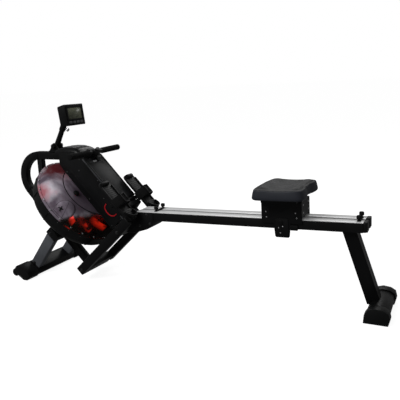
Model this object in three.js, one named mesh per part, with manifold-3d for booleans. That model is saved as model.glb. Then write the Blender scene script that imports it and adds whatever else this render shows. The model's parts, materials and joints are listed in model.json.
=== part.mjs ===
// Rowing machine with a tilted water tank, a sliding seat on an inclined rail and a strap-driven impeller.
// Units are millimetres. +X runs from the tank to the rear foot, +Z is up, -Y is the near side.
import * as THREE from "three";
import { mergeVertices } from "three/addons/utils/BufferGeometryUtils.js";
import Module from "manifold-3d";

const wasm = await Module();
wasm.setup();

// ---- driving dimensions ----
const GAP = 0.3; // clearance between parts that rest on each other

const TANK_CENTRE_X = -642; // centre of the tank's flange
const TANK_CENTRE_Z = 430;
const TANK_TILT = 47; // degrees that the tank's axis leans back from vertical
const TANK_RADIUS = 280;
const DISH_RADIUS = 274;
const DISH_DEPTH = 110;

const TUBE_DEPTH = 45; // main tube, seen from the side
const TUBE_WIDTH = 40;
const BEND_X = -920; // centre of the front bend
const BEND_Z = 558;
const BEND_RADIUS = 127.5; // to the tube's centre line

const SIDE_IN = 115; // inner and outer faces of the legs and struts
const SIDE_OUT = 155;

const RAIL_RISE = 1.35; // degrees
const RAIL_TOP_Z = 410; // top of the rail at X = 0
const RAIL_START = -238;
const RAIL_END = 935;
const RAIL_WIDTH = 129;
const RAIL_HEIGHT = 46.5;
const TRACK_THICK = 3;

const CARRIAGE_START = 470;
const CARRIAGE_END = 665;
const CARRIAGE_WIDTH = 144;
const CARRIAGE_TOP = 86; // above the rail's top
const ROLLER_RADIUS = 18;
const UNDER_ROLLER_RADIUS = 12;

const FOOT_LENGTH = 506; // front stabilizer with its caps
const FOOT_TILT = 35;
const CASING_HALF = 87;
const CASING_WALL = 3;
const HANDLE_HALF = 222;

const BLACK_PAINT = { color: 0x121214, roughness: 0.42, metalness: 0.3 };
const BLACK_PLASTIC = { color: 0x17181a, roughness: 0.5, metalness: 0.0 };
const GLOSS_PLASTIC = { color: 0x2b2d31, roughness: 0.2, metalness: 0.0 };
const GREY_PAINT = { color: 0x4a4c52, roughness: 0.45, metalness: 0.3 };
const ALUMINIUM = { color: 0xd4d6d9, roughness: 0.3, metalness: 0.9 };
const RUBBER = { color: 0x0c0c0d, roughness: 0.85, metalness: 0.0 };
const STEEL = { color: 0xb9bbbf, roughness: 0.25, metalness: 1.0 };
const RED_PLASTIC = { color: 0xa51218, roughness: 0.35, metalness: 0.0 };
const CLEAR = { color: 0xdfe3ea, roughness: 0.08, metalness: 0.0, transparent: true, opacity: 0.45 };
const VINYL = { color: 0x3a3f47, roughness: 0.7, metalness: 0.0 };
const WEBBING = { color: 0x141416, roughness: 0.9, metalness: 0.0 };
const KEY_GREY = { color: 0x8d9096, roughness: 0.6, metalness: 0.0 };

const machine = new THREE.Group();
const drive = new THREE.Group(); // frame of the tank: x along its face, z along its axis
drive.position.set(TANK_CENTRE_X, 0, TANK_CENTRE_Z);
drive.rotation.y = THREE.MathUtils.degToRad(TANK_TILT);
const rail = new THREE.Group(); // frame of the rail: z = 0 on the top of its tracks
rail.position.set(0, 0, RAIL_TOP_Z);
rail.rotation.y = THREE.MathUtils.degToRad(-RAIL_RISE);
machine.add(drive, rail);

function addMesh(parent, name, geometry, look) {
  const mesh = new THREE.Mesh(geometry, new THREE.MeshStandardMaterial(look));
  mesh.name = name;
  parent.add(mesh);
  return mesh;
}

// ---- solids ----
function toSolid(geometry) {
  const bare = geometry.clone();
  bare.deleteAttribute("normal");
  bare.deleteAttribute("uv");
  const merged = mergeVertices(bare, 1e-4);
  const positions = new Float32Array(merged.attributes.position.array);
  const triangles = new Uint32Array(merged.index.array);
  return new wasm.Manifold(new wasm.Mesh({ numProp: 3, vertProperties: positions, triVerts: triangles }));
}

function toGeometry(solid) {
  const mesh = solid.getMesh();
  const geometry = new THREE.BufferGeometry();
  const positions = new THREE.BufferAttribute(new Float32Array(mesh.vertProperties), 3);
  geometry.setAttribute("position", positions);
  geometry.setIndex(new THREE.BufferAttribute(new Uint32Array(mesh.triVerts), 1));
  return geometry;
}

function joined(...geometries) {
  return toGeometry(geometries.map(toSolid).reduce((a, b) => a.add(b)));
}

function cut(geometry, ...tools) {
  return toGeometry(tools.map(toSolid).reduce((a, b) => a.subtract(b), toSolid(geometry)));
}

function box(x0, x1, y0, y1, z0, z1) {
  const geometry = new THREE.BoxGeometry(x1 - x0, y1 - y0, z1 - z0);
  return geometry.translate((x0 + x1) / 2, (y0 + y1) / 2, (z0 + z1) / 2);
}

// A polygon in the XZ plane, extruded from y0 to y1, with an optional bevel along its outline.
function plate(points, y0, y1, bevel = 0, holes = []) {
  const shape = new THREE.Shape(points.map(([x, z]) => new THREE.Vector2(x, z)));
  for (const hole of holes) {
    shape.holes.push(new THREE.Path(hole.map(([x, z]) => new THREE.Vector2(x, z))));
  }
  const settings = { depth: y1 - y0 - 2 * bevel, bevelEnabled: bevel > 0, curveSegments: 12 };
  if (bevel > 0) {
    Object.assign(settings, { bevelThickness: bevel, bevelSize: bevel, bevelOffset: -bevel, bevelSegments: 2 });
  }
  const geometry = new THREE.ExtrudeGeometry(shape, settings);
  return geometry.rotateX(Math.PI / 2).translate(0, y1 - bevel, 0);
}

// A polygon in the YZ plane, extruded from x0 to x1.
function section(points, x0, x1, holes = []) {
  const shape = new THREE.Shape(points.map(([y, z]) => new THREE.Vector2(y, z)));
  for (const hole of holes) {
    shape.holes.push(new THREE.Path(hole.map(([y, z]) => new THREE.Vector2(y, z))));
  }
  const geometry = new THREE.ExtrudeGeometry(shape, { depth: x1 - x0, bevelEnabled: false });
  return geometry.rotateZ(Math.PI / 2).rotateY(Math.PI / 2).translate(x0, 0, 0);
}

// A profile of [radius, height] turned about the Z axis.
function turnedZ(profile, segments = 32) {
  const points = profile.map(([r, h]) => new THREE.Vector2(r, h));
  return new THREE.LatheGeometry(points, segments).rotateX(Math.PI / 2);
}

// A profile of [radius, y] turned about the Y axis.
function turnedY(profile, segments = 24) {
  const points = profile.map(([r, y]) => new THREE.Vector2(r, y));
  return new THREE.LatheGeometry(points, segments);
}

function rodY(radius, y0, y1, segments = 24) {
  return new THREE.CylinderGeometry(radius, radius, y1 - y0, segments).translate(0, (y0 + y1) / 2, 0);
}

function rodZ(radius, z0, z1, segments = 24) {
  const rod = new THREE.CylinderGeometry(radius, radius, z1 - z0, segments);
  return rod.rotateX(Math.PI / 2).translate(0, 0, (z0 + z1) / 2);
}

function arc(cx, cz, radius, from, to, steps) {
  const points = [];
  for (let i = 0; i <= steps; i += 1) {
    const angle = THREE.MathUtils.degToRad(from + ((to - from) * i) / steps);
    points.push([cx + radius * Math.cos(angle), cz + radius * Math.sin(angle)]);
  }
  return points;
}

// A stadium outline in the XZ plane, leaning down towards +X by tilt degrees and cut off flat at z = floor.
function stadium(cx, cz, halfStraight, radius, tilt, floor = -1e6) {
  const lean = THREE.MathUtils.degToRad(-tilt);
  const alongX = Math.cos(lean) * halfStraight;
  const alongZ = Math.sin(lean) * halfStraight;
  const right = arc(cx + alongX, cz + alongZ, radius, -90 - tilt, 90 - tilt, 12);
  const left = arc(cx - alongX, cz - alongZ, radius, 90 - tilt, 270 - tilt, 12);
  return [...right, ...left].map(([x, z]) => [x, Math.max(z, floor)]);
}

// A closed polygon moved inwards by a wall thickness. The polygon runs anticlockwise.
function inset(points, wall) {
  const count = points.length;
  const lines = points.map(([x, z], i) => {
    const [nextX, nextZ] = points[(i + 1) % count];
    const length = Math.hypot(nextX - x, nextZ - z);
    const normalX = -(nextZ - z) / length;
    const normalZ = (nextX - x) / length;
    return { normalX, normalZ, offset: normalX * x + normalZ * z + wall };
  });
  return points.map((_, i) => {
    const a = lines[(i + count - 1) % count];
    const b = lines[i];
    const det = a.normalX * b.normalZ - a.normalZ * b.normalX;
    const x = (a.offset * b.normalZ - b.offset * a.normalZ) / det;
    const z = (a.normalX * b.offset - b.normalX * a.offset) / det;
    return [x, z];
  });
}

// A point given in the tank's frame, in the machine's frame.
function fromDrive(along, height) {
  const lean = THREE.MathUtils.degToRad(TANK_TILT);
  const x = TANK_CENTRE_X + along * Math.cos(lean) + height * Math.sin(lean);
  const z = TANK_CENTRE_Z - along * Math.sin(lean) + height * Math.cos(lean);
  return [x, z];
}

// The same, the other way round.
function toDrive(x, z) {
  const lean = THREE.MathUtils.degToRad(TANK_TILT);
  const dx = x - TANK_CENTRE_X;
  const dz = z - TANK_CENTRE_Z;
  return [dx * Math.cos(lean) - dz * Math.sin(lean), dx * Math.sin(lean) + dz * Math.cos(lean)];
}

function inDriveFrame(geometry) {
  drive.updateMatrix();
  return geometry.applyMatrix4(drive.matrix.clone().invert());
}

const SIDES = [
  ["near", -1],
  ["far", 1],
];

// Mirrors a pair of Y limits for a side: near is -Y, far is +Y.
function band(side, inner, outer) {
  return side < 0 ? [-outer, -inner] : [inner, outer];
}

// ---- main frame ----
const half = TUBE_DEPTH / 2;
const halfWidth = TUBE_WIDTH / 2;
const topZ = BEND_Z + BEND_RADIUS;
const TOP_TUBE_END = -602;
addMesh(
  machine,
  "frame_top_tube",
  plate(
    [
      [BEND_X + GAP, topZ - half],
      [TOP_TUBE_END, topZ - half],
      [TOP_TUBE_END, topZ + half],
      [BEND_X + GAP, topZ + half],
    ],
    -halfWidth,
    halfWidth,
    4,
  ),
  BLACK_PAINT,
);
const bendEnd = 270 - TANK_TILT; // the bend turns the tube parallel to the tank's face
const bendOuter = arc(BEND_X, BEND_Z, BEND_RADIUS + half, 90, bendEnd, 16);
const bendInner = arc(BEND_X, BEND_Z, BEND_RADIUS - half, bendEnd, 90, 16);
addMesh(machine, "frame_front_bend", plate([...bendOuter, ...bendInner], -halfWidth, halfWidth, 4), BLACK_PAINT);

// The diagonal tube runs down from the bend, parallel to the tank's face, to the bar between the legs.
const LEG_START = 291; // along the tank's face
const LEG_END = 340;
const bendAngle = THREE.MathUtils.degToRad(bendEnd);
const bendFootX = BEND_X + BEND_RADIUS * Math.cos(bendAngle);
const bendFootZ = BEND_Z + BEND_RADIUS * Math.sin(bendAngle);
const [diagonalStart, diagonalHeight] = toDrive(bendFootX, bendFootZ);
const diagonalOutline = [
  [diagonalStart + GAP, diagonalHeight - half],
  [LEG_START + 3 - GAP, diagonalHeight - half],
  [LEG_START + 3 - GAP, diagonalHeight + half],
  [diagonalStart + GAP, diagonalHeight + half],
];
addMesh(drive, "frame_diagonal_tube", plate(diagonalOutline, -halfWidth, halfWidth, 4), BLACK_PAINT);

// The post holds the top tube up from the diagonal tube, behind the tank.
const POST_LEFT = -932;
const POST_RIGHT = -897;
function diagonalTop(x) {
  const [cornerX, cornerZ] = fromDrive(diagonalStart, diagonalHeight + half);
  return cornerZ - (x - cornerX) * Math.tan(THREE.MathUtils.degToRad(TANK_TILT));
}
const postOutline = [
  [POST_LEFT, diagonalTop(POST_LEFT) + 0.5],
  [POST_RIGHT, diagonalTop(POST_RIGHT) + 0.5],
  [POST_RIGHT, topZ - half - GAP],
  [POST_LEFT, topZ - half - 1],
];
addMesh(machine, "tank_post", plate(postOutline, -17, 17, 3), BLACK_PAINT);

// ---- legs at the low end of the tank ----
const LEG_BOTTOM = -213;
const LEG_TOP = 258;
for (const [name, side] of SIDES) {
  const [y0, y1] = band(side, SIDE_IN, SIDE_OUT);
  const outline = [
    [LEG_START, LEG_BOTTOM],
    [LEG_END, LEG_BOTTOM],
    [LEG_END, LEG_TOP],
    [LEG_START, LEG_TOP],
  ];
  addMesh(drive, `leg_${name}`, plate(outline, y0, y1, 4), BLACK_PAINT);
}
const barOutline = [
  [LEG_START + 3, -230],
  [LEG_END - 4, -230],
  [LEG_END - 4, -168],
  [LEG_START + 3, -168],
];
addMesh(drive, "leg_cross_bar", plate(barOutline, -SIDE_IN + GAP, SIDE_IN - GAP), BLACK_PAINT);

// ---- front struts and stabilizer ----
const BEAM_ALONG = 52;
const BEAM_HALF = 38;
const BEAM_LOW = diagonalHeight + half + GAP;
const BEAM_HIGH = BEAM_LOW + 44;
const beamOutline = [
  [BEAM_ALONG - BEAM_HALF, BEAM_LOW],
  [BEAM_ALONG + BEAM_HALF, BEAM_LOW],
  [BEAM_ALONG + BEAM_HALF, BEAM_HIGH],
  [BEAM_ALONG - BEAM_HALF, BEAM_HIGH],
];
addMesh(drive, "strut_cross_beam", plate(beamOutline, -SIDE_OUT, SIDE_OUT), BLACK_PAINT);

const FOOT_X = -915;
const FOOT_STRAIGHT = 25;
const FOOT_RADIUS = 25;
const CAP_RADIUS = 29.5;
const FOOT_Z = Math.sin(THREE.MathUtils.degToRad(FOOT_TILT)) * FOOT_STRAIGHT + CAP_RADIUS - 3;
const footHalf = FOOT_LENGTH / 2;
const STRUT_FOOT = [-906, 56];
const STRUT_WIDTH = 61;
const STRUT_ANGLE = 52.5;
function strutOutline() {
  const angle = THREE.MathUtils.degToRad(STRUT_ANGLE);
  const alongX = Math.cos(angle);
  const alongZ = Math.sin(angle);
  const [x, z] = STRUT_FOOT;
  const w = STRUT_WIDTH / 2;
  return [
    [x + alongZ * w - alongX * 8, z - alongX * w - alongZ * 8],
    [x + alongZ * w + alongX * 262, z - alongX * w + alongZ * 262],
    [x - alongZ * w + alongX * 262, z + alongX * w + alongZ * 262],
    [x - alongZ * w - alongX * 8, z + alongX * w - alongZ * 8],
  ];
}
const footClear = plate(stadium(FOOT_X, FOOT_Z, FOOT_STRAIGHT, FOOT_RADIUS + GAP, FOOT_TILT), -200, 200);
for (const [name, side] of SIDES) {
  const [y0, y1] = band(side, SIDE_IN, SIDE_OUT);
  const bar = inDriveFrame(cut(plate(strutOutline(), y0, y1), footClear));
  const above = box(-200, 300, -200, 200, BEAM_LOW - GAP, 300);
  addMesh(drive, `strut_${name}`, cut(bar, above), GREY_PAINT);
}

const CAP_SLEEVE = 81;
const footOutline = stadium(FOOT_X, FOOT_Z, FOOT_STRAIGHT, FOOT_RADIUS, FOOT_TILT);
addMesh(machine, "front_stabilizer", plate(footOutline, -footHalf + 6.3, footHalf - 6.3), BLACK_PAINT);

const WHEEL_X = -984;
const WHEEL_Z = 31;
const WHEEL_RADIUS = 23;
for (const [name, side] of SIDES) {
  const [y0, y1] = band(side, footHalf - CAP_SLEEVE, footHalf);
  const [in0, in1] = band(side, footHalf - CAP_SLEEVE - 5, footHalf - 6);
  const shell = plate(stadium(FOOT_X, FOOT_Z, FOOT_STRAIGHT, CAP_RADIUS, FOOT_TILT, 0), y0, y1);
  const bore = plate(stadium(FOOT_X, FOOT_Z, FOOT_STRAIGHT, FOOT_RADIUS + GAP, FOOT_TILT), in0, in1);
  const ears = [footHalf - 50, footHalf - 16].map((offset) => {
    const [e0, e1] = band(side, offset, offset + 5);
    const ear = [...arc(WHEEL_X, WHEEL_Z, 11, 90, 270, 8), [FOOT_X - 20, WHEEL_Z - 11], [FOOT_X - 20, WHEEL_Z + 25]];
    return plate(ear, e0, e1);
  });
  const [p0, p1] = band(side, footHalf - 48, footHalf - 14);
  const pin = rodY(4, p0, p1).translate(WHEEL_X, 0, WHEEL_Z);
  addMesh(machine, `front_cap_${name}`, cut(joined(shell, ...ears, pin), bore), BLACK_PLASTIC);

  const [w0, w1] = band(side, footHalf - 43, footHalf - 18);
  const tread = [
    [4.08, w0],
    [18, w0],
    [WHEEL_RADIUS, w0 + 4],
    [WHEEL_RADIUS, w1 - 4],
    [18, w1],
    [4.08, w1],
    [4.08, w0],
  ];
  addMesh(machine, `transport_wheel_${name}`, turnedY(tread).translate(WHEEL_X, 0, WHEEL_Z), RUBBER);
}

// ---- water tank ----
const dish = [
  [0, -DISH_DEPTH],
  [196, -DISH_DEPTH],
  [226, -104],
  [254, -88],
  [DISH_RADIUS, -64],
  [DISH_RADIUS, -10],
  [TANK_RADIUS, -8],
  [TANK_RADIUS, -GAP],
  [266, -GAP],
  [266, -62],
  [248, -83],
  [223, -98],
  [195, -104],
  [0, -104],
];
addMesh(drive, "tank_lower_shell", turnedZ(dish, 48), BLACK_PLASTIC);
const dome = [
  [9, 92],
  [9, 88],
  [158, 84],
  [168, 77],
  [212, 63],
  [240, 45],
  [256, 25],
  [262, 7],
  [262, 0],
  [TANK_RADIUS, 0],
  [TANK_RADIUS, 8],
  [267, 9],
  [261, 28],
  [244, 49],
  [215, 68],
  [172, 82],
  [161, 90],
  [30, 93],
  [28, 96],
  [9, 96],
  [9, 92],
];
addMesh(drive, "tank_upper_shell", turnedZ(dome, 48), CLEAR);
const PLUG_ALONG = -6;
const PLUG_Y = -124;
const plug = [
  [0, 92.3],
  [17, 92.3],
  [17, 99],
  [13, 103],
  [0, 103],
];
addMesh(drive, "fill_plug", turnedZ(plug, 20).translate(PLUG_ALONG, PLUG_Y, 0), BLACK_PLASTIC);

const BLADE_COUNT = 12;
const hub = turnedZ(
  [
    [0, -96],
    [8, -96],
    [8, -72],
    [34, -70],
    [34, 16],
    [8, 40],
    [8, 200],
    [0, 200],
  ],
  20,
);
const blades = [];
for (let i = 0; i < BLADE_COUNT; i += 1) {
  const blade = box(20, 214, -4, 4, -66, 14);
  blades.push(blade.rotateZ((i * 2 * Math.PI) / BLADE_COUNT));
}
addMesh(drive, "impeller", joined(hub, ...blades), RED_PLASTIC);

// ---- drive casing ----
const CASING_LOW = 98.5;
const FACE_HIGH = 245;
const FACE_LOW = 200;
const CASING_FOOT = 285;
const STEP_ALONG = 246; // the face steps down here, near the low end
const FOOT_BAR_ALONG = 200;
const FOOT_BAR_HEIGHT = 240;
const FOOT_BAR_RADIUS = 11;
const TROUGH_HALF = 14; // the foot bar crosses the face in a trough
const TROUGH_FLOOR = 227;
const NOTCH_ALONG = 268; // the casing's low end steps back here, clear of the legs
const NOTCH_HEIGHT = 158;
const casingOutline = [
  fromDrive(-165, CASING_LOW),
  fromDrive(NOTCH_ALONG, CASING_LOW),
  fromDrive(NOTCH_ALONG, NOTCH_HEIGHT),
  fromDrive(CASING_FOOT, NOTCH_HEIGHT + 8),
  fromDrive(CASING_FOOT, FACE_LOW),
  fromDrive(STEP_ALONG + 4, FACE_LOW),
  fromDrive(STEP_ALONG - 3, FACE_HIGH),
  fromDrive(FOOT_BAR_ALONG + TROUGH_HALF, FACE_HIGH),
  fromDrive(FOOT_BAR_ALONG + TROUGH_HALF, TROUGH_FLOOR),
  fromDrive(FOOT_BAR_ALONG - TROUGH_HALF, TROUGH_FLOOR),
  fromDrive(FOOT_BAR_ALONG - TROUGH_HALF, FACE_HIGH),
  fromDrive(-125, FACE_HIGH),
  [-572, 713],
  [-705, 713],
  [-705, 650],
];
const casingInner = inset(casingOutline, CASING_WALL);
const tubeChannel = box(
  -800,
  TOP_TUBE_END + GAP,
  -halfWidth - GAP,
  halfWidth + GAP,
  topZ - half - GAP,
  topZ + half + GAP,
);
drive.updateMatrix();
const shaftHole = rodZ(12, CASING_LOW - 10, CASING_LOW + 10).applyMatrix4(drive.matrix);
const STRAP_ALONG = -96;
const slotCorner = [
  fromDrive(STRAP_ALONG - 16, FACE_HIGH - 12),
  fromDrive(STRAP_ALONG + 16, FACE_HIGH - 12),
  fromDrive(STRAP_ALONG + 16, FACE_HIGH + 12),
  fromDrive(STRAP_ALONG - 16, FACE_HIGH + 12),
];
const strapSlot = plate(slotCorner, -22, 22);
for (const [name, side] of SIDES) {
  const [y0, y1] = band(side, GAP / 2, CASING_HALF);
  const [in0, in1] = band(side, -5, CASING_HALF - CASING_WALL);
  const shell = plate(casingOutline, y0, y1);
  const hollow = plate(casingInner, in0, in1);
  addMesh(machine, `casing_${name}`, cut(shell, hollow, tubeChannel, shaftHole, strapSlot), BLACK_PLASTIC);
}

const facePanel = box(-116, 180, -78, 78, FACE_HIGH + GAP, FACE_HIGH + 4);
const panelSlot = box(STRAP_ALONG - 16, STRAP_ALONG + 16, -22, 22, FACE_HIGH - 5, FACE_HIGH + 10);
addMesh(drive, "casing_face_panel", cut(facePanel, panelSlot), GLOSS_PLASTIC);

const coverOutline = [
  [-736, 713.3],
  [-560, 713.3],
  [-566, 726],
  [-598, 739],
  [-640, 744],
  [-695, 743],
  [-728, 732],
];
const coverHollow = plate(
  [
    [-730, 700],
    [-566, 700],
    [-570, 723],
    [-600, 735.5],
    [-640, 740.5],
    [-694, 739.5],
    [-725, 729.5],
  ],
  -77,
  77,
);
addMesh(machine, "casing_top_cover", cut(plate(coverOutline, -80, 80), coverHollow), BLACK_PLASTIC);

// ---- strap drive ----
const REEL_RADIUS = 60;
const reel = [
  [8.08, 120],
  [70, 120],
  [70, 124],
  [REEL_RADIUS, 125],
  [REEL_RADIUS, 155],
  [70, 156],
  [70, 160],
  [8.08, 160],
  [8.08, 120],
];
addMesh(drive, "strap_reel", turnedZ(reel, 24), BLACK_PLASTIC);
const GUIDE_HEIGHT = 226;
const GUIDE_RADIUS = 12;
const guide = [
  [0, -83],
  [4, -83],
  [4, -20],
  [15, -20],
  [15, -17],
  [GUIDE_RADIUS, -16],
  [GUIDE_RADIUS, 16],
  [15, 17],
  [15, 20],
  [4, 20],
  [4, 83],
  [0, 83],
];
addMesh(drive, "guide_roller", turnedY(guide, 16).translate(STRAP_ALONG, 0, GUIDE_HEIGHT), STEEL);

const HANDLE_ALONG = -123;
const HANDLE_HEIGHT = 281;
const BAR_RADIUS = 13;
const GRIP_RADIUS = 17;
const GRIP_START = 58;
const bar = rodY(BAR_RADIUS, -HANDLE_HALF + 4, HANDLE_HALF - 4);
const lug = box(-6, 17, -16, 16, -12, -4);
addMesh(drive, "handle_bar", joined(bar, lug).translate(HANDLE_ALONG, 0, HANDLE_HEIGHT), BLACK_PAINT);
for (const [name, side] of SIDES) {
  const sleeve = [
    [BAR_RADIUS + GAP, GRIP_START],
    [GRIP_RADIUS, GRIP_START],
    [GRIP_RADIUS, HANDLE_HALF - 5],
    [GRIP_RADIUS - 4, HANDLE_HALF],
    [0, HANDLE_HALF],
    [0, HANDLE_HALF - 3.5],
    [BAR_RADIUS + GAP, HANDLE_HALF - 3.5],
    [BAR_RADIUS + GAP, GRIP_START],
  ];
  const grip = turnedY(sleeve);
  if (side < 0) grip.rotateX(Math.PI);
  addMesh(drive, `handle_grip_${name}`, grip.translate(HANDLE_ALONG, 0, HANDLE_HEIGHT), RUBBER);
}
const strap = box(STRAP_ALONG - 12.6, STRAP_ALONG - 10.6, -13, 13, FACE_HIGH - 4, HANDLE_HEIGHT - 12.3);
addMesh(drive, "pull_strap", strap, WEBBING);

const restBase = FACE_HIGH + 4 + GAP;
const restParts = [box(-149, -117, -55, 55, FACE_HIGH + GAP, restBase + 4)];
for (const side of [-1, 1]) {
  const [y0, y1] = band(side, 30, 52);
  restParts.push(box(-149, -112, y0, y1, restBase, HANDLE_HEIGHT - BAR_RADIUS - GAP));
  restParts.push(box(-149, -137, y0, y1, restBase, HANDLE_HEIGHT + 4));
}
addMesh(drive, "handle_rest", joined(...restParts), BLACK_PLASTIC);

// ---- foot rests ----
const PLATE_LOW = 264;
const PLATE_THICK = 9;
const PLATE_TOE = 66;
const PLATE_HEEL = 326;
const PLATE_INNER = 70;
const PLATE_OUTER = 166;
const barPosts = [-38, 38].map((y) => box(-10, 10, y - 10, y + 10, TROUGH_FLOOR + GAP - FOOT_BAR_HEIGHT, 0));
const footBar = joined(rodY(FOOT_BAR_RADIUS, -158, 158), ...barPosts);
addMesh(drive, "foot_bar", footBar.translate(FOOT_BAR_ALONG, 0, FOOT_BAR_HEIGHT), BLACK_PAINT);

const STRAP_START = 184;
const STRAP_END = 236;
const STRAP_RISE = 44;
for (const [name, side] of SIDES) {
  const [y0, y1] = band(side, PLATE_INNER, PLATE_OUTER);
  const mid = (y0 + y1) / 2;
  const top = PLATE_LOW + PLATE_THICK;
  const sole = new THREE.Shape();
  sole.moveTo(PLATE_TOE, y0 + 26);
  sole.quadraticCurveTo(PLATE_TOE, y0, PLATE_TOE + 30, y0);
  sole.lineTo(PLATE_HEEL - 22, y0);
  sole.quadraticCurveTo(PLATE_HEEL, y0, PLATE_HEEL, y0 + 24);
  sole.lineTo(PLATE_HEEL, y1 - 24);
  sole.quadraticCurveTo(PLATE_HEEL, y1, PLATE_HEEL - 22, y1);
  sole.lineTo(PLATE_TOE + 30, y1);
  sole.quadraticCurveTo(PLATE_TOE, y1, PLATE_TOE, y1 - 26);
  const flat = new THREE.ExtrudeGeometry(sole, { depth: PLATE_THICK, bevelEnabled: false, curveSegments: 6 });
  flat.translate(0, 0, PLATE_LOW);
  const toeStop = box(PLATE_TOE + 2, PLATE_TOE + 16, mid - 26, mid + 26, top - 2, top + 14);
  const saddleLow = FOOT_BAR_HEIGHT + FOOT_BAR_RADIUS + GAP;
  const saddle = box(FOOT_BAR_ALONG - 18, FOOT_BAR_ALONG + 18, mid - 22, mid + 22, saddleLow, PLATE_LOW + 1);
  addMesh(drive, `foot_plate_${name}`, joined(flat, toeStop, saddle), BLACK_PLASTIC);

  const cupBlock = box(PLATE_HEEL - 62, PLATE_HEEL - 4, y0 + 8, y1 - 8, top + GAP, top + 34);
  const cupHollow = box(PLATE_HEEL - 80, PLATE_HEEL - 12, y0 + 14, y1 - 14, top + 6, top + 60);
  addMesh(drive, `heel_cup_${name}`, cut(cupBlock, cupHollow), BLACK_PLASTIC);

  const archOuter = [
    [y0 - 4, top - 16],
    [y0 - 4, top + 22],
    [y0 + 18, top + STRAP_RISE],
    [y1 - 18, top + STRAP_RISE],
    [y1 + 4, top + 22],
    [y1 + 4, top - 16],
    [y1 + GAP, top - 16],
    [y1 + GAP, top + 20],
    [y1 - 20, top + STRAP_RISE - 4],
    [y0 + 20, top + STRAP_RISE - 4],
    [y0 - GAP, top + 20],
    [y0 - GAP, top - 16],
  ];
  addMesh(drive, `foot_strap_${name}`, section(archOuter.reverse(), STRAP_START, STRAP_END), WEBBING);
}

// ---- rail ----
const railHalf = RAIL_WIDTH / 2;
const beamTop = -TRACK_THICK - GAP;
const GROOVE = 8;
const railOuter = [
  [-railHalf, -RAIL_HEIGHT],
  [railHalf, -RAIL_HEIGHT],
  [railHalf, beamTop],
  [GROOVE, beamTop],
  [GROOVE, -15],
  [-GROOVE, -15],
  [-GROOVE, beamTop],
  [-railHalf, beamTop],
];
const railInner = [
  [-railHalf + 3, -RAIL_HEIGHT + 3],
  [railHalf - 3, -RAIL_HEIGHT + 3],
  [railHalf - 3, beamTop - 3],
  [GROOVE + 3, beamTop - 3],
  [GROOVE + 3, -18],
  [-GROOVE - 3, -18],
  [-GROOVE - 3, beamTop - 3],
  [-railHalf + 3, beamTop - 3],
];
addMesh(rail, "rail_beam", section(railOuter, RAIL_START, RAIL_END, [railInner.reverse()]), BLACK_PAINT);
for (const [name, side] of SIDES) {
  const [y0, y1] = band(side, GROOVE + 1, railHalf - 1);
  const track = box(RAIL_START, RAIL_END, y0, y1, -TRACK_THICK, 0);
  addMesh(rail, `rail_track_${name}`, track, ALUMINIUM);
}
const capOutline = [
  [RAIL_END + GAP, -RAIL_HEIGHT],
  [RAIL_END + 14, -RAIL_HEIGHT],
  [RAIL_END + 19, -RAIL_HEIGHT + 6],
  [RAIL_END + 19, -6],
  [RAIL_END + 14, 0],
  [RAIL_END + GAP, 0],
];
addMesh(rail, "rail_end_cap", plate(capOutline, -railHalf, railHalf, 3), BLACK_PLASTIC);

const BUMPER_Y = 36;
const BUMPER_RADIUS = 11;
const BUMPER_HEIGHT = 27;
const FRONT_BUMPER = -128;
const REAR_BUMPER = 913;
for (const [name, x] of [
  ["bumper_front", FRONT_BUMPER],
  ["bumper_rear", REAR_BUMPER],
]) {
  const base = box(-8, 8, -BUMPER_Y, BUMPER_Y, GAP, 3);
  const stubs = [-BUMPER_Y, BUMPER_Y].map((y) => rodZ(BUMPER_RADIUS, GAP, BUMPER_HEIGHT).translate(0, y, 0));
  addMesh(rail, name, joined(base, ...stubs).translate(x, 0, 0), RUBBER);
}

// The bracket that joins the rail's front end to the legs.
const BRACKET_HALF = 68.5;
const bracketOutline = [
  fromDrive(CASING_FOOT + 1, 96),
  [-262, 284],
  [-215, 298],
  [-172, 312],
  [-144, 330],
  [-134, 352],
  [-134, 400],
  fromDrive(CASING_FOOT + 1, 252),
];
const bracketBody = plate(bracketOutline, -BRACKET_HALF, BRACKET_HALF);
const wing = plate(
  [
    [LEG_START + 6, 128],
    [LEG_END - 4, 128],
    [LEG_END - 4, 192],
    [LEG_START + 6, 192],
  ],
  -SIDE_IN + GAP,
  SIDE_IN - GAP,
).applyMatrix4(drive.matrix);
rail.updateMatrix();
const railChannel = box(
  RAIL_START - GAP,
  RAIL_END,
  -railHalf - GAP,
  railHalf + GAP,
  -RAIL_HEIGHT - GAP,
  60,
).applyMatrix4(rail.matrix);
addMesh(machine, "rail_bracket", cut(joined(bracketBody, wing), railChannel), BLACK_PAINT);

// ---- rear leg and stabilizer ----
const REAR_TOP_X = 869;
const REAR_FOOT_X = 1000;
const REAR_HALF = 150;
function railUnder(x) {
  return RAIL_TOP_Z + x * Math.tan(THREE.MathUtils.degToRad(RAIL_RISE)) - RAIL_HEIGHT;
}
const rearLegOutline = [
  [REAR_TOP_X - 32, railUnder(REAR_TOP_X - 32) - 0.6],
  [REAR_FOOT_X - 44, 40],
  [REAR_FOOT_X + 20, 40],
  [REAR_TOP_X + 32, railUnder(REAR_TOP_X + 32) - 0.6],
];
const rearFootOutline = [
  [960, 10],
  [1058, 10],
  [1064, 30],
  [1058, 52],
  [1038, 64],
  [1006, 68],
  [980, 60],
  [964, 38],
];
const rearFootClear = rearFootOutline.map(([x, z]) => {
  const dx = x - 1011;
  const dz = z - 38;
  const length = Math.hypot(dx, dz);
  return [x + (dx / length) * 0.5, z + (dz / length) * 0.5];
});
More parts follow.
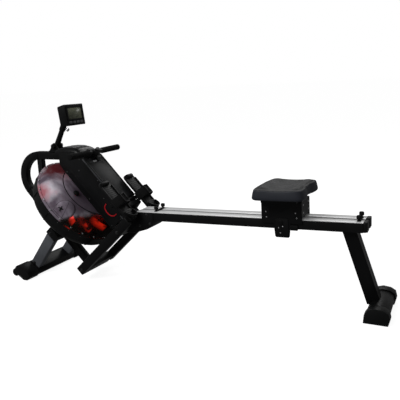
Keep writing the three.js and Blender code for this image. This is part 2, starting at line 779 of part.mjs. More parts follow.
const rearLegPlate = plate(
  [
    [REAR_TOP_X - 46, railUnder(REAR_TOP_X - 46) - 4.6],
    [REAR_TOP_X + 56, railUnder(REAR_TOP_X + 56) - 4.6],
    [REAR_TOP_X + 56, railUnder(REAR_TOP_X + 56) - 0.6],
    [REAR_TOP_X - 46, railUnder(REAR_TOP_X - 46) - 0.6],
  ],
  -48,
  48,
);
const rearLeg = cut(plate(rearLegOutline, -30, 30), plate(rearFootClear, -60, 60));
addMesh(machine, "rear_leg", joined(rearLeg, rearLegPlate), BLACK_PAINT);
addMesh(machine, "rear_stabilizer", plate(rearFootOutline, -REAR_HALF + 8, REAR_HALF - 8), BLACK_PAINT);
const rearCapOutline = [
  [956, 0],
  [1062, 0],
  [1070, 28],
  [1063, 56],
  [1041, 69],
  [1006, 73],
  [976, 64],
  [959, 38],
];
for (const [name, side] of SIDES) {
  const [y0, y1] = band(side, REAR_HALF - 52, REAR_HALF);
  const [in0, in1] = band(side, REAR_HALF - 60, REAR_HALF - 7.7);
  const capShell = plate(rearCapOutline, y0, y1);
  addMesh(machine, `rear_cap_${name}`, cut(capShell, plate(rearFootClear, in0, in1)), BLACK_PLASTIC);
}

// ---- seat ----
const sideWall = [
  [CARRIAGE_START, -20],
  [528, -20],
  [534, -82],
  [540, -88],
  [599, -88],
  [605, -82],
  [611, -20],
  [CARRIAGE_END, -20],
  [CARRIAGE_END, CARRIAGE_TOP],
  [CARRIAGE_START, CARRIAGE_TOP],
];
const carriageHalf = CARRIAGE_WIDTH / 2;
const tunnel = box(CARRIAGE_START + 3, CARRIAGE_END - 3, -carriageHalf + 3, carriageHalf - 3, -120, CARRIAGE_TOP - 3);
const frontMouth = box(CARRIAGE_START - 5, CARRIAGE_START + 8, -carriageHalf + 3, carriageHalf - 3, -120, 8);
const rearMouth = box(CARRIAGE_END - 8, CARRIAGE_END + 5, -carriageHalf + 3, carriageHalf - 3, -120, 8);
const seatBoard = box(482, 652, -112, 112, CARRIAGE_TOP - 1, CARRIAGE_TOP + 17);
const carriageBody = cut(plate(sideWall, -carriageHalf, carriageHalf), tunnel, frontMouth, rearMouth);
addMesh(rail, "seat_carriage", joined(carriageBody, seatBoard), BLACK_PAINT);

function roller(radius) {
  const inner = radius > 15 ? 22 : 10;
  const outer = radius > 15 ? 54 : 58;
  const profile = [
    [0, -carriageHalf + 3 + GAP],
    [5, -carriageHalf + 3 + GAP],
    [5, -outer],
    [radius - 2, -outer],
    [radius, -outer + 3],
    [radius, -inner - 3],
    [radius - 2, -inner],
    [5, -inner],
    [5, inner],
    [radius - 2, inner],
    [radius, inner + 3],
    [radius, outer - 3],
    [radius - 2, outer],
    [5, outer],
    [5, carriageHalf - 3 - GAP],
    [0, carriageHalf - 3 - GAP],
  ];
  return turnedY(profile, 18);
}
const ROLLER_FRONT_X = 504;
const ROLLER_REAR_X = 631;
const ROLLER_UNDER_X = 570;
for (const [name, x] of [
  ["roller_front", ROLLER_FRONT_X],
  ["roller_rear", ROLLER_REAR_X],
]) {
  addMesh(rail, name, roller(ROLLER_RADIUS).translate(x, 0, ROLLER_RADIUS + GAP), RUBBER);
}
const underZ = -RAIL_HEIGHT - UNDER_ROLLER_RADIUS - GAP;
addMesh(rail, "roller_under", roller(UNDER_ROLLER_RADIUS).translate(ROLLER_UNDER_X, 0, underZ), RUBBER);

// The saddle-shaped pad, widest at the back.
const PAD_LOW = CARRIAGE_TOP + 17 + GAP;
const pad = new THREE.Shape();
pad.moveTo(447, -136);
pad.quadraticCurveTo(447, -162, 473, -162);
pad.lineTo(670, -162);
pad.quadraticCurveTo(696, -162, 696, -136);
pad.quadraticCurveTo(696, -42, 676, 0);
pad.quadraticCurveTo(696, 42, 696, 136);
pad.quadraticCurveTo(696, 162, 670, 162);
pad.lineTo(473, 162);
pad.quadraticCurveTo(447, 162, 447, 136);
pad.quadraticCurveTo(437, 60, 437, 0);
pad.quadraticCurveTo(437, -60, 447, -136);
const padGeometry = new THREE.ExtrudeGeometry(pad, {
  depth: 34,
  bevelEnabled: true,
  bevelThickness: 14,
  bevelSize: 12,
  bevelOffset: -12,
  bevelSegments: 3,
  curveSegments: 6,
});
addMesh(rail, "seat_pad", padGeometry.translate(0, 0, PAD_LOW + 14), VINYL);

// ---- console ----
const MAST_X = -786;
const MAST_Z = 742;
const MAST_LEAN = 28.5; // degrees towards the user
const bracketBase = box(-832, -742, -24, 24, topZ + half + GAP, topZ + half + 8);
const bracketEars = [-1, 1].map((side) => {
  const [y0, y1] = band(side, 17.5, 24);
  return plate([...arc(MAST_X, MAST_Z, 18, 0, 180, 10), [-822, 715], [-750, 715]], y0, y1);
});
const bracketPin = rodY(5, -34, 34).translate(MAST_X, 0, MAST_Z);
const bracketKnobs = [-1, 1].map((side) => {
  const [y0, y1] = band(side, 24, 40);
  return rodY(13, y0, y1).translate(MAST_X, 0, MAST_Z);
});
addMesh(machine, "mast_bracket", joined(bracketBase, ...bracketEars, bracketPin, ...bracketKnobs), BLACK_PLASTIC);

const mastGroup = new THREE.Group();
mastGroup.position.set(MAST_X, 0, MAST_Z);
mastGroup.rotation.y = THREE.MathUtils.degToRad(MAST_LEAN);
machine.add(mastGroup);
const MAST_LENGTH = 174.5;
const mastTube = turnedZ(
  [
    [0, -12],
    [16, -12],
    [16, 40],
    [13.5, MAST_LENGTH],
    [0, MAST_LENGTH],
  ],
  20,
);
const mastEye = rodY(5.08, -40, 40);
const mastHead = rodY(11, -16, 16).translate(0, 0, MAST_LENGTH - 6);
addMesh(mastGroup, "mast", cut(joined(mastTube, mastHead), mastEye), BLACK_PAINT);

const consoleGroup = new THREE.Group();
consoleGroup.position.set(-640, 0, 917);
consoleGroup.rotation.y = THREE.MathUtils.degToRad(-6);
machine.add(consoleGroup);
const CONSOLE_HALF = 79;
const consoleSide = [
  [-40, -50],
  [0, -58],
  [4, -54],
  [4, 54],
  [0, 59],
  [-42, 52],
  [-46, 46],
  [-44, -44],
];
const consoleCase = plate(consoleSide, -CONSOLE_HALF, CONSOLE_HALF, 3);
const KEY_COUNT = 4;
const KEY_PITCH = 31;
const keyY = (i) => (i - (KEY_COUNT - 1) / 2) * KEY_PITCH;
const keyWells = [];
for (let i = 0; i < KEY_COUNT; i += 1) {
  keyWells.push(box(0, 10, keyY(i) - 11.5, keyY(i) + 11.5, -46.5, -32.5));
}
const glassWell = box(2, 10, -50, 50, -24, 40);
const neck = [-1, 1].map((side) => {
  const [y0, y1] = band(side, 16.5, 22);
  return plate([[-44, -44], [-44, -8], ...arc(-68, -20, 13, 90, 270, 8)], y0, y1);
});
addMesh(consoleGroup, "console_body", cut(joined(consoleCase, ...neck), glassWell, ...keyWells), BLACK_PLASTIC);
for (let i = 0; i < KEY_COUNT; i += 1) {
  const key = box(1.9, 6, keyY(i) - 11.1, keyY(i) + 11.1, -46.1, -32.9);
  addMesh(consoleGroup, `console_key_${i + 1}`, key, KEY_GREY);
}

export default machine;
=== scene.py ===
"""Looks of the rowing machine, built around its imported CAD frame. Metres, +X to the rear foot, +Z up."""

import json
from math import copysign, cos, exp, hypot, pi, radians, sin, sqrt

import bmesh
import bpy
from mathutils import Matrix, Vector


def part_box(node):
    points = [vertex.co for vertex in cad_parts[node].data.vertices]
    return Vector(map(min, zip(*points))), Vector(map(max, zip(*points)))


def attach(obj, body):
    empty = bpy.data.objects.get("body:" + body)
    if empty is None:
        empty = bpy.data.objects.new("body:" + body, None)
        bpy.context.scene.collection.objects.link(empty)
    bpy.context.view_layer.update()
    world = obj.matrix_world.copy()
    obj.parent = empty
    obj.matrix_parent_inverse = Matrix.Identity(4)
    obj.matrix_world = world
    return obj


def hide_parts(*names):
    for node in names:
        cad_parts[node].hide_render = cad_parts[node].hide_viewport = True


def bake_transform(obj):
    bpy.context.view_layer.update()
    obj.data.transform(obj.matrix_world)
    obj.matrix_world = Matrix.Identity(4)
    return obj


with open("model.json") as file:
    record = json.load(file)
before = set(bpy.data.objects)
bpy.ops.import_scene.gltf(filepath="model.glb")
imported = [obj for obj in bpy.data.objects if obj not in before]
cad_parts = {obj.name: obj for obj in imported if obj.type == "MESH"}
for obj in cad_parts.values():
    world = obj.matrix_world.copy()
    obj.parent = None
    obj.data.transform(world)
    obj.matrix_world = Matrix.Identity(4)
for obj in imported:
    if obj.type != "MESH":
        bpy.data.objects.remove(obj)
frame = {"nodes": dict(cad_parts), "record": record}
scene = bpy.context.scene
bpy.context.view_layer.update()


def shifted(x, y, z):
    return Matrix.Translation((x, y, z))


# ---- places that repeat those of the CAD model ----
TANK_CENTRE = Vector((-0.642, 0, 0.43))
TANK_TILT = radians(47)
RAIL_RISE = radians(1.35)
DRIVE = Matrix.Translation(TANK_CENTRE) @ Matrix.Rotation(TANK_TILT, 4, "Y")
RAIL = shifted(0, 0, 0.41) @ Matrix.Rotation(-RAIL_RISE, 4, "Y")
CONSOLE = shifted(-0.64, 0, 0.917) @ Matrix.Rotation(radians(-6), 4, "Y")
MAST_FOOT = shifted(-0.786, 0, 0.742)
MAST = MAST_FOOT @ Matrix.Rotation(radians(28.5), 4, "Y")
WORLD = Matrix.Identity(4)
SIDES = (("near", -1), ("far", 1))
ACROSS = Matrix(((0, 0, 1, 0), (1, 0, 0, 0), (0, 1, 0, 0), (0, 0, 0, 1)))  # local x, y, z to y, z, x
ALONG_Y = Matrix(((1, 0, 0, 0), (0, 0, -1, 0), (0, 1, 0, 0), (0, 0, 0, 1)))  # local x, y, z to x, z, -y
FLAT_SIDE = Matrix(((1, 0, 0, 0), (0, 0, 1, 0), (0, 1, 0, 0), (0, 0, 0, 1)))  # local x, y, z to x, z, y


# ---- materials ----
SLOTS = {}  # each look's name with the material slot that it fills


class Paint:
    """A procedural material: a Principled shader whose inputs get noise, ramps and bump."""

    def __init__(self, name, slot, colour, roughness, metallic=0.0):
        self.material = bpy.data.materials.new(name)
        self.material.use_nodes = True
        self.tree = self.material.node_tree
        self.shader = self.tree.nodes["Principled BSDF"]
        self.set(Base_Color=(*colour, 1), Roughness=roughness, Metallic=metallic)
        self.height = None
        self.coordinates = self.node("TexCoord", {}, "Object")
        SLOTS[self.material.name] = slot

    def set(self, **inputs):
        """Constant inputs of the shader, with _ for the spaces of their names."""
        for key, value in inputs.items():
            self.shader.inputs[key.replace("_", " ")].default_value = value

    def ended(self, **inputs):
        """The material, once its last constant inputs are set."""
        self.set(**inputs)
        return self.material

    def feed(self, name, output):
        self.tree.links.new(output, self.shader.inputs[name])

    def node(self, kind, inputs, output, **settings):
        """A new node's output. Each input is a constant or another node's output."""
        made = self.tree.nodes.new(f"ShaderNode{kind}")
        for key, value in settings.items():
            setattr(made, key, value)
        for key, value in inputs.items():
            if isinstance(value, bpy.types.NodeSocket):
                self.tree.links.new(value, made.inputs[key])
            else:
                made.inputs[key].default_value = value
        return made.outputs[output]

    def noise(self, scale, detail, stretch=(1, 1, 1)):
        place = self.node("Mapping", {"Vector": self.coordinates, "Scale": stretch}, "Vector")
        return self.node("TexNoise", {"Vector": place, "Scale": scale, "Detail": detail}, "Fac")

    def voronoi(self, scale):
        return self.node("TexVoronoi", {"Vector": self.coordinates, "Scale": scale}, "Distance")

    def wave(self, scale, axis):
        return self.node("TexWave", {"Vector": self.coordinates, "Scale": scale}, "Fac", bands_direction=axis)

    def maths(self, operation, *values):
        return self.node("Math", dict(enumerate(values)), "Value", operation=operation)

    def vectors(self, operation, output, *values):
        return self.node("VectorMath", dict(enumerate(values)), output, operation=operation)

    def mixed(self, factor, first, colour):
        """The first output where factor is 0, a colour where it is 1."""
        return self.node("Mix", {0: factor, 6: first, 7: (*colour, 1)}, 2, data_type="RGBA")

    def ramp(self, value, stops):
        output = self.node("ValToRGB", {"Fac": value}, "Color")
        elements = output.node.color_ramp.elements
        while len(elements) < len(stops):
            elements.new(0.5)
        for element, (position, colour) in zip(elements, stops):
            element.position = position
            element.color = (*colour, 1)
        return output

    def rescaled(self, value, from_min, from_max, to_min, to_max):
        limits = {"From Min": from_min, "From Max": from_max, "To Min": to_min, "To Max": to_max}
        return self.node("MapRange", {"Value": value, **limits}, "Result")

    def vary_roughness(self, value, low, high):
        self.feed("Roughness", self.rescaled(value, 0.0, 1.0, low, high))

    def vary_colour(self, value, dark, light):
        self.feed("Base Color", self.ramp(value, [(0.3, dark), (0.7, light)]))

    def bump(self, value, distance, strength=1.0):
        """Adds a layer of height, in metres, to the surface."""
        inputs = {"Height": value, "Distance": distance, "Strength": strength}
        if self.height is not None:
            inputs["Normal"] = self.height
        self.height = self.node("Bump", inputs, "Normal")
        self.feed("Normal", self.height)


def shade(colour, factor):
    return tuple(min(1.0, c * factor) for c in colour)


def powder_coat(name, slot, colour, roughness):
    """Satin powder coat on steel, with fine orange peel."""
    paint = Paint(name, slot, colour, roughness)
    paint.vary_colour(paint.noise(9, 4), shade(colour, 0.85), shade(colour, 1.25))
    paint.vary_roughness(paint.noise(40, 3), roughness - 0.06, roughness + 0.08)
    paint.bump(paint.noise(900, 2), 0.00008)
    return paint.ended(Specular_IOR_Level=0.17)


def moulded(name, slot, colour, roughness, grain=1400, depth=0.00008):
    """Injection-moulded plastic with a fine spark-eroded texture."""
    paint = Paint(name, slot, colour, roughness)
    paint.vary_colour(paint.noise(14, 4), shade(colour, 0.85), shade(colour, 1.2))
    paint.vary_roughness(paint.noise(60, 3), roughness - 0.05, roughness + 0.07)
    paint.bump(paint.noise(grain, 3), depth)
    return paint.ended(Specular_IOR_Level=0.17)


def brushed(name, slot, colour, roughness, along=(120, 120, 120), metallic=1.0):
    """Brushed metal, with scratches along the axis of the smallest number."""
    paint = Paint(name, slot, colour, roughness, metallic)
    scratches = paint.noise(6, 5, along)
    paint.vary_colour(scratches, shade(colour, 0.9), shade(colour, 1.08))
    paint.vary_roughness(scratches, roughness - 0.07, roughness + 0.09)
    paint.bump(scratches, 0.00004)
    return paint.material


def foam_look():
    paint = Paint("handle_foam", "rubber", (0.0045, 0.0045, 0.005), 0.85)
    paint.vary_colour(paint.noise(180, 3), (0.003, 0.003, 0.0035), (0.008, 0.008, 0.0085))
    paint.bump(paint.voronoi(1500), 0.00025)
    return paint.ended(Sheen_Weight=0.03, Sheen_Roughness=0.4, Specular_IOR_Level=0.12)


def webbing_look():
    paint = Paint("webbing", "webbing", (0.012, 0.012, 0.0125), 0.8)
    weave = paint.maths("MULTIPLY", paint.wave(420, "Y"), paint.wave(420, "Z"))
    paint.vary_colour(weave, (0.004, 0.004, 0.004), (0.011, 0.011, 0.0115))
    paint.bump(weave, 0.0003)
    return paint.ended(Sheen_Weight=0.04, Sheen_Roughness=0.4, Specular_IOR_Level=0.12)


def lcd_look():
    paint = Paint("screen_glass", "gloss_plastic", (0.17, 0.18, 0.125), 0.3)
    paint.vary_colour(paint.noise(30, 2), (0.15, 0.16, 0.11), (0.19, 0.2, 0.14))
    paint.bump(paint.noise(1500, 2), 0.00001)
    return paint.ended(Coat_Weight=0.1, Coat_Roughness=0.2, Specular_IOR_Level=0.25)


def seat_look(name, colour, roughness):
    """Self-skinning moulded foam with a fine leather grain."""
    paint = Paint(name, "seat_skin", colour, roughness)
    paint.vary_colour(paint.noise(16, 4), shade(colour, 0.94), shade(colour, 1.06))
    paint.vary_roughness(paint.noise(70, 3), roughness - 0.02, roughness + 0.03)
    paint.bump(paint.voronoi(620), 0.00005)
    paint.bump(paint.noise(1400, 2), 0.00006)
    return paint.ended(Specular_IOR_Level=0.2)


FRAME_BLACK = powder_coat("frame_powder_coat", "black_paint", (0.0042, 0.0043, 0.0046), 0.36)
STRUT_GREY = powder_coat("strut_powder_coat", "grey_paint", (0.092, 0.097, 0.108), 0.4)
PLASTIC = moulded("moulded_plastic", "black_plastic", (0.005, 0.0052, 0.0055), 0.42)
PANEL = moulded("face_panel_plastic", "gloss_plastic", (0.011, 0.0114, 0.0122), 0.46, 2600, 0.00002)
RUBBER = moulded("rubber", "rubber", (0.0045, 0.0045, 0.0048), 0.75, 900, 0.00015)
ALUMINIUM = brushed("brushed_aluminium", "aluminium", (0.95, 0.955, 0.96), 0.3, (4, 260, 260), 0.12)
STEEL = brushed("zinc_steel", "steel", (0.62, 0.62, 0.63), 0.28)
NODE_LOOKS = (FRAME_BLACK, STRUT_GREY, PLASTIC, PANEL, RUBBER, ALUMINIUM, STEEL)

COVER_GLOSS = moulded("top_cover_plastic", "black_plastic", (0.0055, 0.0056, 0.006), 0.22, 2600, 0.00002)
# the casing's edge strips are coloured lighter than the black plastic: a painted highlight along the edges
CASING_EDGE_PAINTED_HIGHLIGHT = moulded("casing_edge_painted_highlight", "gloss_plastic", (0.06, 0.063, 0.067), 0.26, 2600, 0.00002)
CONSOLE_BLACK = moulded("console_plastic", "black_plastic", (0.0045, 0.0046, 0.005), 0.4)
TRIM_RED = moulded("trim_red_plastic", "red_plastic", (0.5, 0.012, 0.018), 0.3, 1800, 0.00003)
STRIPE_GREY = moulded("stripe_grey", "grey_paint", (0.22, 0.225, 0.235), 0.3, 1800, 0.00002)
KEY_GREY = moulded("key_rubber", "key_rubber", (0.13, 0.135, 0.14), 0.6, 1200, 0.00005)
LCD_INK = moulded("screen_ink", "gloss_plastic", (0.05, 0.055, 0.05), 0.4, 1800, 0.00002)
BLACK_STEEL = brushed("blackened_steel", "steel", (0.07, 0.07, 0.072), 0.4)
FOAM = foam_look()
WEBBING = webbing_look()
LCD = lcd_look()
SEAT_SKIN = seat_look("seat_skin", (0.0085, 0.009, 0.0105), 0.5)
SEAT_BAND = seat_look("seat_band", (0.025, 0.0275, 0.0355), 0.45)


# ---- CAD nodes that stay ----
SHARP_ANGLE = radians(35)
NODE_BEVEL = 0.002
TRACK_BEVELS = {"rail_beam": 0.0015, "rail_track_near": 0.0008, "rail_track_far": 0.0008}


def soften(obj, width):
    """Rounds a piece's sharp edges and shades what is left smoothly."""
    obj.data.shade_smooth()
    weld = obj.modifiers.new("weld", "WELD")
    weld.merge_threshold = 0.00002
    bevel = obj.modifiers.new("bevel", "BEVEL")
    bevel.width = width
    bevel.segments = 2
    bevel.limit_method = "ANGLE"
    bevel.angle_limit = SHARP_ANGLE
    split = obj.modifiers.new("split", "EDGE_SPLIT")
    split.split_angle = SHARP_ANGLE


for entry in frame["record"]["subparts"]:
    node = frame["nodes"][entry["node"]]
    for look in NODE_LOOKS:
        if SLOTS[look.name] == entry["material_slot"]:
            node.data.materials.clear()
            node.data.materials.append(look)
    soften(node, TRACK_BEVELS.get(entry["node"], NODE_BEVEL))


# ---- shapes ----
class Shape:
    """Solids and skins gathered into one mesh, each placed in the same turned frame."""

    def __init__(self, place=WORLD):
        self.mesh = bmesh.new()
        self.place = place

    def add(self, points, faces, place=WORLD, material=0):
        matrix = self.place @ place
        corners = [self.mesh.verts.new(matrix @ Vector(point)) for point in points]
        for face in faces:
            made = self.mesh.faces.new([corners[i] for i in face])
            made.material_index = material
        return self

    def loft(self, rings, place=WORLD, material=0):
        """Rings of equal count joined in turn, with the first and the last closed."""
        count = len(rings[0])
        points = [point for ring in rings for point in ring]
        last = len(points) - count
        faces = [tuple(range(count)), tuple(range(last, len(points)))]
        for start in range(0, last, count):
            for i in range(count):
                a, b = start + i, start + (i + 1) % count
                faces.append((a, b, b + count, a + count))
        return self.add(points, faces, place, material)

    def prism(self, outline, low, high, place=WORLD, material=0):
        """An outline in XY, extruded along Z."""
        rings = [[(x, y, height) for x, y in outline] for height in (low, high)]
        return self.loft(rings, place, material)

    def box(self, low, high):
        (x0, y0, z0), (x1, y1, z1) = low, high
        return self.prism([(x0, y0), (x1, y0), (x1, y1), (x0, y1)], z0, z1)

    def lathe(self, profile, segments, place=WORLD):
        """A profile of (radius, height) turned about Z. It closes on the axis or on its first point."""
        closed = profile[0][0] > 0
        points, rings = [], []
        for radius, height in profile:
            start = len(points)
            points += [(x, y, height) for x, y in circle(radius, segments if radius else 1)]
            rings.append([start + (i if radius else 0) for i in range(segments)])
        faces = []
        pairs = list(zip(rings, rings[1:])) + ([(rings[-1], rings[0])] if closed else [])
        for lower, upper in pairs:
            for i in range(segments):
                j = (i + 1) % segments
                corners = [lower[i], lower[j], upper[j], upper[i]]
                face = [c for k, c in enumerate(corners) if c != corners[k - 1]]
                if len(face) > 2:
                    faces.append(tuple(face))
        return self.add(points, faces, place)

    def disc(self, radius, low, high, segments, place=WORLD):
        return self.lathe([(0, low), (radius, low), (radius, high), (0, high)], segments, place)

    def sweep(self, path, section):
        """A closed section in (sideways, up), carried along a path and capped at both ends."""
        path = [Vector(p) for p in path]
        side = None
        rings = []
        for i, here in enumerate(path):
            forward = (path[min(i + 1, len(path) - 1)] - path[max(i - 1, 0)]).normalized()
            if side is None:
                side = Vector((0, 1, 0)) if abs(forward.y) < 0.9 else Vector((0, 0, 1))
            side = (side - forward * side.dot(forward)).normalized()
            up = forward.cross(side)
            rings.append([here + side * a + up * b for a, b in section])
        return self.loft(rings)

    def piece(self, name, body, *looks, replaces=None, bevel=None):
        """Ends the mesh as a named piece in the slot of its first look."""
        bmesh.ops.recalc_face_normals(self.mesh, faces=self.mesh.faces)
        data = bpy.data.meshes.new(name)
        self.mesh.to_mesh(data)
        self.mesh.free()
        data.shade_smooth()
        obj = bpy.data.objects.new(name, data)
        scene.collection.objects.link(obj)
        for look in looks:
            data.materials.append(look)
        if bevel:
            soften(obj, bevel)
        if body:
            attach(obj, body)
        if replaces:
            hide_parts(replaces)
        return obj


def polar(radius, angle):
    return radius * cos(angle), radius * sin(angle)


def circle(radius, sides):
    return [polar(radius, 2 * pi * i / sides) for i in range(sides)]


def arc(x, y, radius, start, end, steps):
    """Points round (x, y) from one angle to another, in degrees."""
    turns = [polar(radius, radians(start + (end - start) * i / steps)) for i in range(steps + 1)]
    return [(x + across, y + up) for across, up in turns]


def rounded(x0, x1, y0, y1, radius, steps=6):
    """A rectangle with rounded corners."""
    left, right, low, high = x0 + radius, x1 - radius, y0 + radius, y1 - radius
    points = arc(right, high, radius, 0, 90, steps) + arc(left, high, radius, 90, 180, steps)
    return points + arc(left, low, radius, 180, 270, steps) + arc(right, low, radius, 270, 360, steps)


def smooth_path(points, steps=8):
    """A Catmull-Rom curve through the points."""
    points = [Vector(p) for p in points]
    padded = [2 * points[0] - points[1], *points, 2 * points[-1] - points[-2]]
    path = []
    for a, b, c, d in zip(padded, padded[1:], padded[2:], padded[3:]):
        for i in range(steps):
            t = i / steps
            square, cube = 2 * a - 5 * b + 4 * c - d, 3 * b - a - 3 * c + d
            path.append((2 * b + (c - a) * t + square * t**2 + cube * t**3) / 2)
    return path + [points[-1]]


def band(side, inner, outer):
    """The lower and the higher y of a stretch on one side."""
    return sorted((side * inner, side * outer))


def facing(place, direction):
    """A frame at a place whose Z points along a direction."""
    return Matrix.Translation(place) @ Vector(direction).to_track_quat("Z", "Y").to_matrix().to_4x4()


def add_hex_bolt(shape, place, direction, radius, height):
    """A hexagon head on a washer, standing on a surface."""
    here = facing(place, direction)
    washer = 0.0012
    shape.disc(radius * 1.35, -0.0005, washer, 24, here)
    shape.prism(circle(radius, 6), washer, washer + height, here)
    shape.disc(radius * 0.62, washer + height - 0.0003, washer + height + 0.0007, 16, here)


def add_socket_bolt(shape, place, direction, radius, height):
    """A round button head with a hexagon recess."""
    profile = [
        (0, 0), (radius, 0), (radius, height * 0.35), (radius * 0.85, height * 0.8),
        (radius * 0.5, height), (radius * 0.42, height), (radius * 0.42, height * 0.45), (0, height * 0.45),
    ]
    shape.lathe(profile, 24, facing(place, direction))


def add_side_bolts(add_bolt, shape, spots, half, radius, height):
    """The same bolts on both sides, at each (x, z) and that far from the middle."""
    for _, side in SIDES:
        for x, z in spots:
            add_bolt(shape, (x, side * half, z), (0, side, 0), radius, height)


# ---- water tank ----
TANK_BOLTS = 24
DOME_OUTER = [
    (0.2795, 0.0005), (0.2795, 0.0075), (0.2685, 0.0085), (0.2672, 0.016), (0.2625, 0.0275), (0.2545, 0.039),
    (0.2435, 0.0495), (0.23, 0.059), (0.214, 0.0675), (0.196, 0.0745), (0.179, 0.08), (0.169, 0.083),
    (0.164, 0.0865), (0.156, 0.0905), (0.12, 0.0915), (0.06, 0.0918), (0.03, 0.092), (0.0285, 0.0955),
    (0.0095, 0.0955),
]
DOME_INNER = [
    (0.0095, 0.0885), (0.1555, 0.0845), (0.166, 0.0795), (0.178, 0.0765), (0.212, 0.064), (0.24, 0.046),
    (0.256, 0.026), (0.263, 0.008), (0.263, 0.0005),
]
WATER_EDGE = 0.42  # height of the water line, with the mean of its ripple added
WATER_RIPPLE = 0.1
PATCH_RIPPLE = 0.09


def on_drive(along, across, height):
    return DRIVE @ Vector((along, across, height))


# patches of painted light on the misted shell (a painted highlight, painted shade and the painted red shine
# of the impeller behind): centre, full radius, fading radius, strength and colour
TANK_PAINTED_LIGHT_PATCHES = [
    (on_drive(-0.1, -0.222, 0.05), 0.012, 0.072, 1.0, (0.88, 0.83, 0.92)),
    (on_drive(0.06, -0.1, 0.09), 0.07, 0.16, 0.95, (0.075, 0.056, 0.075)),
    (on_drive(-0.11, -0.24, 0.014), 0.02, 0.062, 0.8, (0.42, 0.05, 0.07)),
    (on_drive(-0.215, -0.06, 0.05), 0.06, 0.125, 0.97, (0.1, 0.005, 0.008)),
]


def tank_plastic():
    """Clear polycarbonate: misted and streaky over the water line, with patches of painted highlight, painted
    shade and painted red shine of the impeller; wet and clear under it, tinted dark for the water and for
    painted shade.
    """
    paint = Paint("tank_polycarbonate", "clear_plastic", (0.9, 0.9, 0.93), 0.06)
    height = paint.node("SeparateXYZ", {"Vector": paint.coordinates}, "Z")
    height = paint.maths("MULTIPLY_ADD", paint.noise(7, 4), WATER_RIPPLE, height)
    paint.feed("Transmission Weight", paint.rescaled(height, WATER_EDGE, WATER_EDGE + 0.025, 0.88, 0.1))
    stops = [
        (0.34, (0.13, 0.1, 0.13)), (0.48, (0.29, 0.25, 0.3)),
        (0.58, (0.44, 0.4, 0.47)), (0.68, (0.8, 0.77, 0.85)),
    ]
    tint_and_painted_light = paint.ramp(paint.noise(9, 4, (1, 1.4, 0.6)), stops)
    uneven = paint.noise(16, 4)
    # each patch mixes painted light into the shell's colour: a painted highlight, painted shade or the
    # painted red shine of the impeller
    for centre, full, faded, strength, colour in TANK_PAINTED_LIGHT_PATCHES:
        reach = paint.vectors("DISTANCE", "Value", paint.coordinates, centre)
        reach = paint.maths("MULTIPLY_ADD", uneven, PATCH_RIPPLE, reach)
        factor = paint.rescaled(reach, full + PATCH_RIPPLE / 2, faded + PATCH_RIPPLE / 2, strength, 0.0)
        tint_and_painted_light = paint.mixed(factor, tint_and_painted_light, colour)
    # darker under the water line: the water's own brown colour together with painted shade
    water_and_painted_shade = paint.rescaled(height, WATER_EDGE, WATER_EDGE + 0.02, 1.0, 0.0)
    paint.feed("Base Color", paint.mixed(water_and_painted_shade, tint_and_painted_light, (0.06, 0.05, 0.04)))
    paint.bump(paint.noise(60, 2), 0.0002, 0.2)
    return paint.ended(IOR=1.15, Specular_IOR_Level=0.35)


TANK_CLEAR = tank_plastic()


def impeller_painted_glow():
    """Red plastic with a painted glow where it comes close under the clear shell, standing in for light
    through the water.
    """
    paint = Paint("impeller_painted_glow", "red_plastic", (0.62, 0.012, 0.008), 0.3)
    paint.vary_colour(paint.noise(25, 3), (0.5, 0.008, 0.006), (0.85, 0.03, 0.012))
    paint.bump(paint.noise(300, 2), 0.0001)
    axis = DRIVE.to_3x3() @ Vector((0, 0, 1))
    level = axis.dot(TANK_CENTRE)
    height = paint.vectors("DOT_PRODUCT", "Value", paint.coordinates, axis)
    raised = paint.rescaled(height, level - 0.034, level + 0.004, 0.0, 1.0)
    from_centre = paint.vectors("SUBTRACT", "Vector", paint.coordinates, TANK_CENTRE)
    sideways = paint.vectors("CROSS_PRODUCT", "Vector", from_centre, axis)
    outer = paint.rescaled(paint.vectors("LENGTH", "Value", sideways), 0.125, 0.165, 0.0, 1.0)
    patches = paint.rescaled(paint.noise(13, 2), 0.46, 0.54, 0.02, 1.0)
    # painted glow: emission on the blades near the shell, in noise patches, in place of light through the
    # water
    painted_glow = paint.maths("MULTIPLY", paint.maths("MULTIPLY", raised, outer), patches)
    paint.feed("Emission Strength", paint.rescaled(painted_glow, 0.0, 1.0, 0.0, 8.0))
    return paint.ended(Emission_Color=(1.0, 0.03, 0.01, 1))


IMPELLER_RED = impeller_painted_glow()


def dome_height(radius):
    """Height of the dome's outside at that distance from the tank's axis."""
    for (r0, z0), (r1, z1) in zip(DOME_OUTER[1:], DOME_OUTER[2:]):
        if r1 <= radius <= r0:
            return z1 + (z0 - z1) * (radius - r1) / (r0 - r1)
    return DOME_OUTER[1][1]


BOSS_ALONG = 0.045
BOSS_Y = -0.232
BOSS_RADIUS = 0.05


